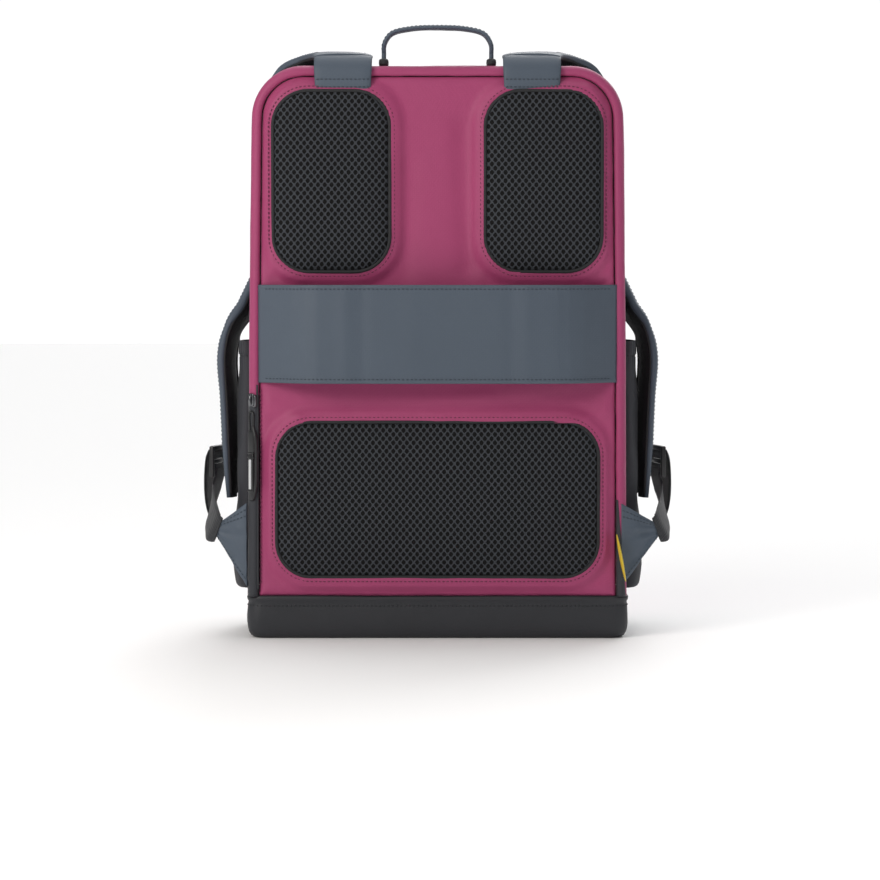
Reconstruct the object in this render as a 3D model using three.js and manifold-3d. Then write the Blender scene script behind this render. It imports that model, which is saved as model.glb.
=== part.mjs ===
// Travel backpack, zipped shut and standing on its base, as a tree of separate sewn and moulded pieces.
// Millimetres. +Z is up, -Y faces the wearer (back panel), +Y is the front pocket, and
// "left" is -X, "right" is +X, as seen by someone looking at the back panel.
import * as THREE from "three";
import { mergeVertices } from "three/addons/utils/BufferGeometryUtils.js";
import Module from "manifold-3d";

const wasm = await Module();
wasm.setup();

// ---------------------------------------------------------------- driving dimensions
const HEIGHT = 458; // floor to the top of the shell, behind
const TOP_FALL = 8; // how much lower the top is at the front
const BASE_HEIGHT = 34; // coated base band
const BACK_Y = -75; // outer face of the back panel
const PANEL_Y = -69; // inner face of the back panel
const SEAM_Y = -35; // rear gusset meets main gusset
const MOUTH_Y = 46; // the two halves of the main zip meet
const COVER_Y = 56; // inner face of the front cover
const POCKET_Y = 80; // outer face of the front pocket
const CORNER_R = 42; // upper corners of the shell, seen from behind
const WALL = 3; // lined fabric wall
const SKIN = 2; // single fabric wall
const TAPE = 1.2; // zip tape
const TAPE_WIDTH = 9.4; // one side of the main zip
const GAP = 0.3; // clearance between pieces that are sewn together
const PAD = 12; // mesh pad thickness

// Half width of the shell at height z: at the rear seam, and at the front cover.
const REAR_WIDTH = [[0, 153], [60, 152], [240, 151], [410, 148.5], [HEIGHT, 147]];
const FRONT_WIDTH = [[0, 147], [200, 147], [310, 129], [HEIGHT, 127]];
const SIDE_HEIGHTS = [60, 130, 200, 240, 275, 310, 360];

const fabric = (colour, roughness = 0.85) =>
  new THREE.MeshStandardMaterial({ color: colour, roughness, metalness: 0 });
const PLUM = fabric("#8f4163", 0.7);
const SLATE = fabric("#4f5966", 0.75);
const CHARCOAL = fabric("#33353a", 0.8);
const COATED = fabric("#303238", 0.55);
const MESH = fabric("#2b2d31", 0.95);
const WEBBING = fabric("#26282c", 0.8);
const LINING = fabric("#5a5e66", 0.8);
const YELLOW = fabric("#d9b838", 0.7);
const BOARD = fabric("#1c1d20", 0.5);
const PLASTIC = fabric("#17181a", 0.4);
const METAL = new THREE.MeshStandardMaterial({ color: "#b9bcc0", roughness: 0.3, metalness: 1 });

// ---------------------------------------------------------------- helpers
const { clamp, lerp, degToRad } = THREE.MathUtils;

function along(table, z) {
  const last = table.length - 1;
  const i = clamp(table.findIndex((row) => row[0] >= z), 1, last);
  const [z0, w0] = table[i - 1];
  const [z1, w1] = table[i];
  return lerp(w0, w1, clamp((z - z0) / (z1 - z0), 0, 1));
}

const frontShare = (y) => clamp((y - SEAM_Y) / (COVER_Y - SEAM_Y), 0, 1);
const topAt = (y) => HEIGHT - TOP_FALL * frontShare(y);
const halfWidth = (z, y) => lerp(along(REAR_WIDTH, z), along(FRONT_WIDTH, z), frontShare(y));

// Outline of the shell at depth y, pulled in by inset, from height low over the rounded top.
function shellOutline(y, inset, low) {
  const top = topAt(y) - inset;
  const r = CORNER_R - inset;
  const shoulder = top - r;
  const side = [low, ...SIDE_HEIGHTS.filter((z) => z > low), shoulder];
  const right = side.map((z) => [halfWidth(z, y) - inset, z]);
  const centre = halfWidth(shoulder, y) - inset - r;
  for (let i = 1; i <= 6; i++) {
    const a = (i / 6) * (Math.PI / 2);
    right.push([centre + r * Math.cos(a), shoulder + r * Math.sin(a)]);
  }
  const left = right.map(([x, z]) => [-x, z]).reverse();
  return [...right, ...left].map(([x, z]) => [x, y, z]);
}

// A rounded rectangle, given by its four sides and one radius, as points round its edge.
function roundedBox(x0, x1, z0, z1, r, steps = 5) {
  const corners = [[x1 - r, z1 - r, 0], [x0 + r, z1 - r, 90], [x0 + r, z0 + r, 180], [x1 - r, z0 + r, 270]];
  return corners.flatMap(([cx, cz, start]) =>
    Array.from({ length: steps + 1 }, (_, i) => {
      const a = degToRad(start + (90 * i) / steps);
      return [cx + r * Math.cos(a), cz + r * Math.sin(a)];
    }));
}

function signedVolume(positions, index) {
  const [a, b, c] = [new THREE.Vector3(), new THREE.Vector3(), new THREE.Vector3()];
  let sum = 0;
  for (let i = 0; i < index.length; i += 3) {
    a.fromArray(positions, 3 * index[i]);
    b.fromArray(positions, 3 * index[i + 1]);
    c.fromArray(positions, 3 * index[i + 2]);
    sum += a.dot(b.cross(c));
  }
  return sum / 6;
}

// Triangles that fill a flat ring, wound the way the ring runs.
function ringFaces(ring) {
  const reach = [0, 1, 2].map((k) => Math.max(...ring.map((p) => p[k])) - Math.min(...ring.map((p) => p[k])));
  const thin = reach.indexOf(Math.min(...reach));
  const flat = ring.map((p) => new THREE.Vector2(...p.filter((_, k) => k !== thin)));
  const faces = THREE.ShapeUtils.triangulateShape(flat, []);
  const turned = THREE.ShapeUtils.area(flat) * THREE.ShapeUtils.area(faces[0].map((i) => flat[i])) < 0;
  return turned ? faces.map((face) => [...face].reverse()) : faces;
}

// A closed solid through rings of the same number of points, with flat ends.
function loft(rings) {
  const n = rings[0].length;
  const positions = rings.flat(2);
  const index = [];
  for (let s = 0; s + 1 < rings.length; s++) {
    for (let i = 0; i < n; i++) {
      const [a, b] = [s * n + i, s * n + ((i + 1) % n)];
      index.push(a, b, b + n, a, b + n, a + n);
    }
  }
  const last = (rings.length - 1) * n;
  index.push(...ringFaces(rings[0]).flatMap((face) => [...face].reverse()));
  index.push(...ringFaces(rings[rings.length - 1]).flat().map((i) => i + last));
  if (signedVolume(positions, index) < 0) index.reverse();
  const geometry = new THREE.BufferGeometry();
  geometry.setAttribute("position", new THREE.Float32BufferAttribute(positions, 3));
  geometry.setIndex(index);
  return geometry;
}

function solid(geometry) {
  const bare = geometry.clone();
  bare.deleteAttribute("normal");
  bare.deleteAttribute("uv");
  const merged = mergeVertices(bare, 1e-3);
  const triVerts = new Uint32Array(merged.index.array);
  return new wasm.Manifold(
    new wasm.Mesh({ numProp: 3, vertProperties: merged.attributes.position.array, triVerts }));
}

function surface(manifold) {
  const made = manifold.getMesh();
  const geometry = new THREE.BufferGeometry();
  geometry.setAttribute("position", new THREE.Float32BufferAttribute(made.vertProperties, 3));
  geometry.setIndex([...made.triVerts]);
  return geometry;
}

const cut = (from, ...tools) =>
  surface(tools.reduce((body, tool) => body.subtract(solid(tool)), solid(from)));

function block(x0, x1, y0, y1, z0, z1) {
  return new THREE.BoxGeometry(x1 - x0, y1 - y0, z1 - z0)
    .translate((x0 + x1) / 2, (y0 + y1) / 2, (z0 + z1) / 2);
}

// A flat piece: an outline in the XZ plane, made thick from y0 to y1.
const plate = (outline, y0, y1) =>
  loft([y0, y1].map((y) => outline.map(([x, z]) => [x, y, z])));

// A band of the shell between two depths: an arch up one flank, over the top and down the other.
function shellBand(y0, y1, wall, low, inset = 0) {
  const [outer0, outer1] = [y0, y1].map((y) => shellOutline(y, inset, low));
  const [inner0, inner1] = [y0, y1].map((y) => shellOutline(y, inset + wall, low));
  return loft(outer0.map((point, i) => [point, outer1[i], inner1[i], inner0[i]]));
}

// A flat strap along hand-placed stations: where its middle is, which way its width runs, and its sizes.
function ribbon(stations, steps) {
  const path = new THREE.CatmullRomCurve3(
    stations.map((s) => new THREE.Vector3(...s.at)), false, "centripetal");
  const rings = [];
  for (let i = 0; i <= steps; i++) {
    const u = (i / steps) * (stations.length - 1);
    const k = Math.min(Math.floor(u), stations.length - 2);
    const [from, to, t] = [stations[k], stations[k + 1], u - k];
    const across = new THREE.Vector3(...from.across).lerp(new THREE.Vector3(...to.across), t);
    const heading = path.getTangent(u / (stations.length - 1));
    across.addScaledVector(heading, -across.dot(heading)).normalize();
    const up = new THREE.Vector3().crossVectors(across, heading).normalize();
    const half = lerp(from.wide, to.wide, t) / 2;
    const thick = lerp(from.thick, to.thick, t) / 2;
    const middle = path.getPoint(u / (stations.length - 1));
    rings.push([[1, 1], [-1, 1], [-1, -1], [1, -1]].map(([a, b]) =>
      middle.clone().addScaledVector(across, a * half).addScaledVector(up, b * thick).toArray()));
  }
  return loft(rings);
}

const pack = new THREE.Group();

function add(name, geometry, material) {
  const mesh = new THREE.Mesh(geometry, material);
  mesh.name = name;
  pack.add(mesh);
  return mesh;
}

// The same piece on both sides: the right one as drawn, the left one mirrored in the YZ plane.
function addPair(name, geometry, material) {
  add(name + "_right", geometry, material);
  add(name + "_left", geometry, material).scale.x = -1;
}

// ---------------------------------------------------------------- shell
const BASE_INSET = 3; // how far the base tapers in at the floor
const BASE_TAPER = 5; // height of that taper
const REAR_BASE_R = 12;
const FRONT_BASE_R = 20;
const BOARD_INSET = 9;
const BOARD_THICK = 2;
const PANEL_INSET = { face: 6, edge: 3 }; // how far the back panel is in from the shell's outline
const ZIP_NOTCH = [-160, -142.6, -80, -60, 40, 206]; // room for the side zip in the back panel

// Plan of the base: wider behind than in front, with rounded corners.
function basePlan(z, inset) {
  const rear = along(REAR_WIDTH, 0) - inset;
  const front = along(FRONT_WIDTH, 0) - inset;
  const corners = [
    [front - FRONT_BASE_R, COVER_Y - inset - FRONT_BASE_R, FRONT_BASE_R, 0],
    [-front + FRONT_BASE_R, COVER_Y - inset - FRONT_BASE_R, FRONT_BASE_R, 90],
    [-rear + REAR_BASE_R, BACK_Y + inset + REAR_BASE_R, REAR_BASE_R, 180],
    [rear - REAR_BASE_R, BACK_Y + inset + REAR_BASE_R, REAR_BASE_R, 270],
  ];
  return corners.flatMap(([cx, cy, r, start]) =>
    [0, 1, 2, 3, 4].map((i) => {
      const a = degToRad(start + 22.5 * i);
      return [cx + r * Math.cos(a), cy + r * Math.sin(a), z];
    }));
}

function addShell() {
  const low = BASE_HEIGHT + GAP;
  const tub = loft([basePlan(0, BASE_INSET), basePlan(BASE_TAPER, 0), basePlan(BASE_HEIGHT, 0)]);
  add("base_tub", cut(tub, loft([basePlan(WALL, WALL + BASE_INSET), basePlan(BASE_HEIGHT + 1, WALL)])),
    COATED);
  add("base_board", loft([WALL + GAP, WALL + GAP + BOARD_THICK].map((z) => basePlan(z, BOARD_INSET))), BOARD);

  // The back panel stops short of the side zip on the left.
  const panel = loft([
    shellOutline(BACK_Y, PANEL_INSET.face, low),
    shellOutline(BACK_Y + PANEL_INSET.edge, PANEL_INSET.edge, low),
    shellOutline(PANEL_Y, PANEL_INSET.edge, low),
  ]);
  add("back_panel", cut(panel, block(...ZIP_NOTCH)), PLUM);
  add("rear_gusset", shellBand(PANEL_Y + GAP, SEAM_Y - GAP, WALL, low), PLUM);
  add("main_gusset", shellBand(SEAM_Y, MOUTH_Y - TAPE_WIDTH - 2 * GAP, WALL, low), CHARCOAL);
  const rearTape = [MOUTH_Y - GAP - TAPE_WIDTH, MOUTH_Y - GAP];
  add("main_zip_tape_rear", shellBand(...rearTape, TAPE, low, 1), CHARCOAL);
}

// ---------------------------------------------------------------- back panel pads, frame and sleeve
const UPPER_PAD = { inner: 37.5, outer: 131, low: 294, high: 438, r: 28 };
const LOWER_PAD = { half: 129, low: 50, high: 175, r: 28 };
const PAD_EDGE = 4; // how far a pad's face is in from its foot
const FRAME_SHEET = { half: 138, low: 40, high: 440, r: 30, y: [-61.5, -60] };
const LAPTOP_SLEEVE = { half: 143, low: 38, high: 325, r: 12, y: [-37.5, -34] };

function addPad(name, x0, x1, z0, z1, r) {
  const foot = roundedBox(x0, x1, z0, z1, r);
  const face = roundedBox(x0 + PAD_EDGE, x1 - PAD_EDGE, z0 + PAD_EDGE, z1 - PAD_EDGE, r - PAD_EDGE);
  const at = (outline, y) => outline.map(([x, z]) => [x, y, z]);
  const back = BACK_Y - GAP;
  add(name, loft([at(foot, back), at(foot, back - PAD / 2), at(face, back - PAD)]), MESH);
}

function addBack() {
  const u = UPPER_PAD;
  addPad("back_pad_upper_right", u.inner, u.outer, u.low, u.high, u.r);
  addPad("back_pad_upper_left", -u.outer, -u.inner, u.low, u.high, u.r);
  addPad("back_pad_lower", -LOWER_PAD.half, LOWER_PAD.half, LOWER_PAD.low, LOWER_PAD.high, LOWER_PAD.r);
  // A stiff sheet behind the hidden pocket, and the padded sleeve that holds a laptop against it.
  const sheet = ({ half, low, high, r, y }) => plate(roundedBox(-half, half, low, high, r), ...y);
  add("frame_sheet", sheet(FRAME_SHEET), BOARD);
  add("laptop_sleeve", sheet(LAPTOP_SLEEVE), LINING);
}

// Luggage sleeve: sewn at both side seams, standing clear of the panel over the luggage handle's tubes.
const SLEEVE = { low: 206, high: 284, end: 143, flat: 96, stand: 27, thick: 2.4 };

function addTrolleySleeve() {
  const near = BACK_Y - GAP;
  const front = [[SLEEVE.end, near], [SLEEVE.flat, near - SLEEVE.stand]];
  const outer = front.map(([x, y]) => [x, y - SLEEVE.thick]);
  const right = [[-SLEEVE.flat, near - SLEEVE.stand], [-SLEEVE.end, near]];
  const rightOuter = right.map(([x, y]) => [x, y - SLEEVE.thick]).reverse();
  const shape = new THREE.Shape(
    [...front, ...right, ...rightOuter, ...outer.reverse()].map((p) => new THREE.Vector2(...p)));
  const band = new THREE.ExtrudeGeometry(shape, { depth: SLEEVE.high - SLEEVE.low, bevelEnabled: false });
  add("trolley_sleeve", band.translate(0, 0, SLEEVE.low), SLATE);
}

// ---------------------------------------------------------------- front cover and its pocket
const COVER_LOW = 38;
const FRONT_POCKET = { half: 116, low: 42, high: 304, r: 24, zip: 262 };
const POCKET_FOOT = { y: 5, rise: 4 }; // the tray's foot, and how far its lower edge has risen there
const POCKET_FACE = { inset: 8, rise: 22 };
const POCKET_MOUTH = { half: 92, tall: 8 };
const POCKET_TAPE = { half: 98, tall: 16 };

function addFrontCover() {
  const tape = [MOUTH_Y + GAP, MOUTH_Y + GAP + TAPE_WIDTH];
  add("main_zip_tape_front", shellBand(...tape, TAPE, COVER_LOW, 1), CHARCOAL);
  add("front_panel", loft([
    shellOutline(COVER_Y, 2, COVER_LOW), shellOutline(COVER_Y + WALL, 3, COVER_LOW)]), PLUM);

  // The pocket is a tray on the cover: it slopes out from the bottom, and its zip is near the top.
  const { half, low, high, r, zip } = FRONT_POCKET;
  const tray = (y, inset, rise) =>
    roundedBox(-half + inset, half - inset, low + inset + rise, high - inset, r - 2).map(([x, z]) => [x, y, z]);
  const back = COVER_Y + WALL + GAP;
  const { inset, rise } = POCKET_FACE;
  const foot = [back + POCKET_FOOT.y, POCKET_FOOT.rise];
  const outer = loft([tray(back, 0, 0), tray(foot[0], 0, foot[1]), tray(POCKET_Y, inset, rise)]);
  const inner = loft([
    tray(back - 1, SKIN, 0), tray(foot[0], SKIN, foot[1]), tray(POCKET_Y - SKIN, inset + SKIN, rise)]);
  const { half: mouthHalf, tall } = POCKET_MOUTH;
  const mouth = block(-mouthHalf, mouthHalf, POCKET_Y - 3 * SKIN, POCKET_Y + SKIN, zip - tall / 2, zip + tall / 2);
  add("front_pocket", cut(outer, inner, mouth), PLUM);
  add("front_pocket_zip_tape",
    block(-POCKET_TAPE.half, POCKET_TAPE.half, POCKET_Y + GAP, POCKET_Y + GAP + TAPE,
      zip - POCKET_TAPE.tall / 2, zip + POCKET_TAPE.tall / 2), CHARCOAL);
}

// ---------------------------------------------------------------- bottle pockets
const BOTTLE = { rear: -30, front: 40, low: BASE_HEIGHT + 2, high: 238 };
// How far the pocket stands off the flank, by height.
const BOTTLE_BULGE = [[0, 8], [52, 17], [80, 18], [112, 14], [150, 13], [240, 13.5]];

function bottleRing(z, inset, extra) {
  const { rear, front } = BOTTLE;
  const bulge = along(BOTTLE_BULGE, z) - inset;
  const ring = [];
  for (let i = 0; i <= 10; i++) {
    const a = (i / 10) * Math.PI;
    const y = lerp(rear + inset, front - inset, (1 - Math.cos(a)) / 2);
    ring.push([halfWidth(z, y) + 3 * GAP + bulge * Math.sin(a) ** 0.6 - extra * (i % 10 === 0), y, z]);
  }
  return ring;
}

function addBottlePockets() {
  const heights = [52, 80, 112, 150, 200];
  const outer = loft([BOTTLE.low, ...heights, BOTTLE.high].map((z) => bottleRing(z, 0, 0)));
  const inner = loft([BOTTLE.low + SKIN, ...heights, BOTTLE.high + 1].map((z) => bottleRing(z, SKIN, 8)));
  addPair("bottle_pocket", cut(outer, inner), CHARCOAL);
}

// ---------------------------------------------------------------- shoulder straps
// Each strap is swung round the side of the pack: from the root behind, over the top corner, down the
// flank and out over the bottle pocket.
const STRAP = [
  { at: [75, -66, 465], across: [1, 0, 0], wide: 46, thick: 6 },
  { at: [78, -38, 467.5], across: [0.96, -0.28, 0], wide: 52, thick: 9 },
  { at: [92, -6, 466.5], across: [0.75, -0.66, 0], wide: 56, thick: 11 },
  { at: [114, 15, 460.5], across: [0.45, -0.89, 0], wide: 56, thick: 11 },
  { at: [132, 28, 445], across: [0.25, -0.97, -0.1], wide: 56, thick: 11 },
  { at: [140, 34, 424], across: [0.22, -0.975, 0], wide: 56, thick: 11 },
  { at: [141, 35, 390], across: [0.22, -0.975, 0], wide: 56, thick: 11 },
  { at: [141, 35, 350], across: [0.22, -0.975, 0], wide: 56, thick: 11 },
  { at: [143, 33, 316], across: [0.2, -0.98, 0], wide: 56, thick: 11 },
  { at: [149, 28, 288], across: [0.1, -0.99, 0], wide: 56, thick: 11 },
  { at: [160, 18, 264], across: [0.12, -0.993, 0], wide: 56, thick: 11 },
  { at: [170, 11, 246], across: [0.12, -0.993, 0], wide: 56, thick: 11 },
  { at: [174, 7, 226], across: [0.12, -0.993, 0], wide: 56, thick: 11 },
  { at: [172.6, 5, 192], across: [0.12, -0.993, 0], wide: 55, thick: 10.5 },
  { at: [171.2, 4, 156], across: [0.12, -0.993, 0], wide: 54, thick: 10.5 },
  { at: [171, 3, 132], across: [0.12, -0.993, 0], wide: 42, thick: 9 },
  { at: [170.5, 2, 108], across: [0.12, -0.993, 0], wide: 28, thick: 7 },
];
// Webbing from the ladder lock down and back to the triangular tab on the rear seam.
const WEB = [
  { at: [183.2, 4, 117.6], across: [0.26, -0.966, 0], wide: 25, thick: 1.8 },
  { at: [185, 0, 110.5], across: [0.1, -0.95, 0.3], wide: 25, thick: 1.8 },
  { at: [186, -14, 103.5], across: [-0.15, -0.75, 0.64], wide: 25, thick: 1.8 },
  { at: [185.4, -34, 98], across: [-0.35, -0.5, 0.79], wide: 25, thick: 1.8 },
  { at: [183, -50, 93.5], across: [-0.42, -0.3, 0.85], wide: 25, thick: 1.8 },
  { at: [180.6, -59.8, 88.5], across: [-0.45, -0.215, 0.86], wide: 25, thick: 1.8 },
];
const LOCK = { at: [182, 4.4, 138], turn: 15, wide: 33, tall: 26, thick: 4, bar: 3.4, window: 7 };
// The webbing's free end, hanging from the ladder lock.
const TAIL = [[188, 6.5, 141], [189.6, 9, 120], [188.6, 14, 102], [185, 18, 84]]
  .map((at) => ({ at, across: [0.26, -0.966, 0], wide: 25, thick: 1.6 }));
const ROOT = { inner: 52, outer: 98, low: UPPER_PAD.high + 1, high: 454, thick: 4 };

function addStraps() {
  addPair("strap_pad", ribbon(STRAP, 30), SLATE);
  addPair("strap_webbing", ribbon(WEB, 14), WEBBING);
  const { inner, outer, low, high, thick: rootThick } = ROOT;
  addPair("strap_root", block(inner, outer, BACK_Y - 1 - rootThick, BACK_Y - 1, low, high), SLATE);

  // Ladder lock: a frame with two windows, lying on the outside of the strap's lower end.
  const { at, turn, wide, tall, thick, bar } = LOCK;
  const window = (z) => block(-thick, thick, bar - wide / 2, wide / 2 - bar, z, z + LOCK.window);
  const frame = block(-thick / 2, thick / 2, -wide / 2, wide / 2, -tall / 2, tall / 2);
  const lock = cut(frame, window(bar - tall / 2), window(tall / 2 - bar - LOCK.window));
  addPair("ladder_lock", lock.rotateZ(degToRad(turn)).translate(...at), PLASTIC);
  addPair("strap_tail", ribbon(TAIL, 9), WEBBING);
}

// A triangular tab, sewn into the rear seam, that holds the lower end of the webbing.
function triangle(seam, apex, low, high, apexZ, thick) {
  const [dx, dy] = [apex[0] - seam[0], apex[1] - seam[1]];
  const length = Math.hypot(dx, dy);
  const n = [dy / length, -dx / length];
  const corners = [[seam, low], [seam, high], [apex, apexZ + 5], [apex, apexZ - 5]];
  return loft([0, thick].map((t) =>
    corners.map(([p, z]) => [p[0] + n[0] * t, p[1] + n[1] * t, z])));
}

const TAB = { right: [147.5, -76.2], left: [153.4, -71.5], apex: [178, -61.5], low: 42, high: 109, apexZ: 86 };
const LOOP = { x: 146.8, z: 66, thick: 3.2, deep: 9, tall: 38, lean: -11 };

function addTabs() {
  const { right, left, apex, low, high, apexZ } = TAB;
  add("strap_tab_right", triangle(right, apex, low, high, apexZ, SKIN), SLATE);
  add("strap_tab_left", triangle(left, apex, low, high, apexZ, SKIN), SLATE).scale.x = -1;
  // A folded loop of yellow ribbon in the right-hand seam.
  const loop = block(-LOOP.thick / 2, LOOP.thick / 2, -LOOP.deep, 0, -LOOP.tall / 2, LOOP.tall / 2);
  loop.rotateY(degToRad(LOOP.lean)).translate(LOOP.x, BACK_Y - SKIN - 5 * GAP, LOOP.z);
  add("seam_loop", loop, YELLOW);
}

// ---------------------------------------------------------------- haul handle
const HANDLE_Y = -56;
const HANDLE = { wide: 20, leg: 9, thick: 3.2 };
const ANCHOR = { inner: 39, outer: 47, high: 465 };

function addHandle() {
  const at = (x, z, wide = HANDLE.wide) =>
    ({ at: [x, HANDLE_Y, z], across: [0, 1, 0], wide, thick: HANDLE.thick });
  add("haul_handle", ribbon([
    at(-43, 468, HANDLE.leg), at(-42.5, 476), at(-37, 484), at(-22, 488), at(0, 489),
    at(22, 488), at(37, 484), at(42.5, 476), at(43, 468, HANDLE.leg)], 24), SLATE);
  const half = HANDLE.wide / 2;
  addPair("handle_anchor",
    block(ANCHOR.inner, ANCHOR.outer, HANDLE_Y - half, HANDLE_Y + half, HEIGHT + GAP, ANCHOR.high), WEBBING);
}

// ---------------------------------------------------------------- zip sliders and pulls
const SLIDER = { long: 12, wide: 9, tall: 5, off: 0.4 }; // off: clearance over the zip tape
const PULL = { wide: 8, thick: 3, r: 3, main: 38, pocket: 42, side: 73 };
const EYE = { half: 1.6, low: -7, high: -2.5, r: 1.4 };
const MAIN_SLIDER_X = 8; // on either side of the middle
const PULL_LIFT = -95; // degrees: the main pulls lie on the top, a little raised
const POCKET_SLIDER_X = 84;

// A cord pull with an eye at its top end, hanging down from z = 0 with its back on y = 0.
function pull(length) {
  const outline = roundedBox(-PULL.wide / 2, PULL.wide / 2, -length, 0, PULL.r, 3);
  const eye = roundedBox(-EYE.half, EYE.half, EYE.low, EYE.high, EYE.r, 3);
  return cut(plate(outline, -PULL.thick, 0), plate(eye, -PULL.thick - 1, 1));
}

function addMainSliders() {
  const z = topAt(MOUTH_Y) + SLIDER.off;
  const { long, wide, tall } = SLIDER;
  for (const [side, sign] of [["left", -1], ["right", 1]]) {
    const x = MAIN_SLIDER_X * sign;
    add("main_slider_" + side,
      block(x - long / 2, x + long / 2, MOUTH_Y - wide / 2, MOUTH_Y + wide / 2, z, z + tall), METAL);
    // The pull lies on the top of the pack, pointing back.
    add("main_pull_" + side, pull(PULL.main).rotateX(degToRad(PULL_LIFT)), PLASTIC)
      .position.set(x, MOUTH_Y - 6.8, z + 2.2);
  }
}

function addPocketSlider() {
  const y = POCKET_Y + GAP + TAPE + SLIDER.off;
  const [x, z] = [POCKET_SLIDER_X, FRONT_POCKET.zip];
  const { long, wide, tall } = SLIDER;
  add("front_pocket_slider",
    block(x - long / 2, x + long / 2, y, y + tall, z - wide / 2, z + wide / 2), METAL);
  add("front_pocket_pull", pull(PULL.pocket).rotateZ(Math.PI), PLASTIC).position.set(x, y + 1, z - 6.6);
}

// The side zip faces out of the left rear corner, and its long pull hangs beside the seam.
const SIDE_ZIP = { rear: [-143.4, -76.4], front: [-148.8, -70.2], low: 40, high: 204 };
const SIDE_TURN = Math.atan2(SIDE_ZIP.front[1] - SIDE_ZIP.rear[1], SIDE_ZIP.front[0] - SIDE_ZIP.rear[0]);
const SIDE_OUT = [-Math.sin(SIDE_TURN), Math.cos(SIDE_TURN)]; // out of the corner
const SIDE_SLIDER_Z = 192;
const SIDE_PULL_Z = 183; // top of the pull
const INLAY = { half: 1.4, y: [2.3, 3.6], low: -62.5, high: -28.5 };
const INLAY_SLOT = { half: 1.7, y: [2, 4], low: -63, high: -28 };

function addSideZip() {
  const middle = [0, 1].map((i) => (SIDE_ZIP.rear[i] + SIDE_ZIP.front[i]) / 2);
  const width = Math.hypot(SIDE_ZIP.front[0] - SIDE_ZIP.rear[0], SIDE_ZIP.front[1] - SIDE_ZIP.rear[1]);
  const place = (mesh, out, z) => {
    mesh.position.set(middle[0] + SIDE_OUT[0] * out, middle[1] + SIDE_OUT[1] * out, z);
    mesh.rotation.z = SIDE_TURN;
  };
  const { low, high } = SIDE_ZIP;
  place(add("side_zip_tape", block(-width / 2, width / 2, -TAPE / 2, TAPE / 2, low, high), CHARCOAL), 0, 0);
  const { long, wide: across, tall } = SLIDER;
  place(add("side_slider", block(-across / 2, across / 2, 0, tall, -long / 2, long / 2), METAL),
    TAPE / 2 + SLIDER.off, SIDE_SLIDER_Z);
  const bar = ({ half, y, low: z0, high: z1 }) => block(-half, half, ...y, z0, z1);
  place(add("side_pull", cut(pull(PULL.side).rotateZ(Math.PI), bar(INLAY_SLOT)), PLASTIC),
    TAPE / 2 + 1.4, SIDE_PULL_Z);
  place(add("side_pull_inlay", bar(INLAY), METAL), TAPE / 2 + 1.4, SIDE_PULL_Z);
}

addShell();
addBack();
addTrolleySleeve();
addFrontCover();
addBottlePockets();
addStraps();
addTabs();
addHandle();
addMainSliders();
addPocketSlider();
addSideZip();

export default pack;
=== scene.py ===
# %% [markdown]
# # A travel backpack
# The bag is a sewn shell: a padded back panel with three mesh pads, a strip of fabric that runs round the
# sides and over the top, a front cover on a U-shaped zip, and a coated tub for a base. Straps, sleeve,
# pockets and pulls are sewn to it. Most pieces below are shaped from the numbers of the CAD model and hang
# from an empty named after the CAD body that they belong to; the straps, their webbing, the handle and the
# hinge fold are left unparented.

# %% The imported model
import math

import bpy
import numpy as np
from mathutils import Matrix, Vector


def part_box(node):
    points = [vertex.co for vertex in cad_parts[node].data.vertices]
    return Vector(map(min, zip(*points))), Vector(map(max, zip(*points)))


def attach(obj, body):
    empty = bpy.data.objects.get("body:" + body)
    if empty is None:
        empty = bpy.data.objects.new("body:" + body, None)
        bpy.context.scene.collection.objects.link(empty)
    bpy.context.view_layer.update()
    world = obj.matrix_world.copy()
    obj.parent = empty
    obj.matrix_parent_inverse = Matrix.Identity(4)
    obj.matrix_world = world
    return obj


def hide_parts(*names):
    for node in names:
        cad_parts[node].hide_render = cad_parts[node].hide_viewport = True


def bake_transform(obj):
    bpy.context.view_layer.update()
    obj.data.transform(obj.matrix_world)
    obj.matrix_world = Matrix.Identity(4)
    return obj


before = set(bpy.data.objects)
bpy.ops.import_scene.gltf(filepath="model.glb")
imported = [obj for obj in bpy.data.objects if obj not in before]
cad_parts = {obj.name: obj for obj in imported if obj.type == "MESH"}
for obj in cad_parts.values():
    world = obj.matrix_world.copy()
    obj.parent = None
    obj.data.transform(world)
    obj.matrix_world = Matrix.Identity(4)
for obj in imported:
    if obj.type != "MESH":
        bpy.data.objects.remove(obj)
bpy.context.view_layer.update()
MM = 0.001

# %% [markdown]
# ## The camera
# The bag is looked at square on from behind, a little from above, through a long lens, which keeps its
# sides nearly parallel. Placing the camera first lets every later step be judged from the same spot.

# %% Camera
VIEW_WIDTH = 704 * MM  # what the view spans at the back panel
VIEW_DISTANCE = 2.2
VIEW_HEIGHT = 160 * MM
VIEW_TILT = math.radians(3.5)
back_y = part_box("back_panel")[0].y

camera_data = bpy.data.cameras.new("studio_camera")
camera_data.sensor_width = 36
camera_data.lens = 36 * VIEW_DISTANCE / VIEW_WIDTH
camera = bpy.data.objects.new("studio_camera", camera_data)
bpy.context.scene.collection.objects.link(camera)
bpy.context.scene.camera = camera
camera.location = (2 * MM, back_y - VIEW_DISTANCE * math.cos(VIEW_TILT),
                   VIEW_HEIGHT + VIEW_DISTANCE * math.sin(VIEW_TILT))
camera.rotation_euler = (math.pi / 2 - VIEW_TILT, 0, 0)
print("lens", round(camera_data.lens), "mm")

# %% [markdown]
# ## Floor and light
# A pale floor and soft lamps. The key is a softbox close to the bag on its left: because it is close, its
# light falls off across the back, which gives the flat panel a bright and a dim side. A weak front lamp and
# a weaker fill open the shadows, and lamps above and behind light the top, the front and the floor. The view
# transform is Standard, so that a dyed colour comes out as it was picked.

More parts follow.
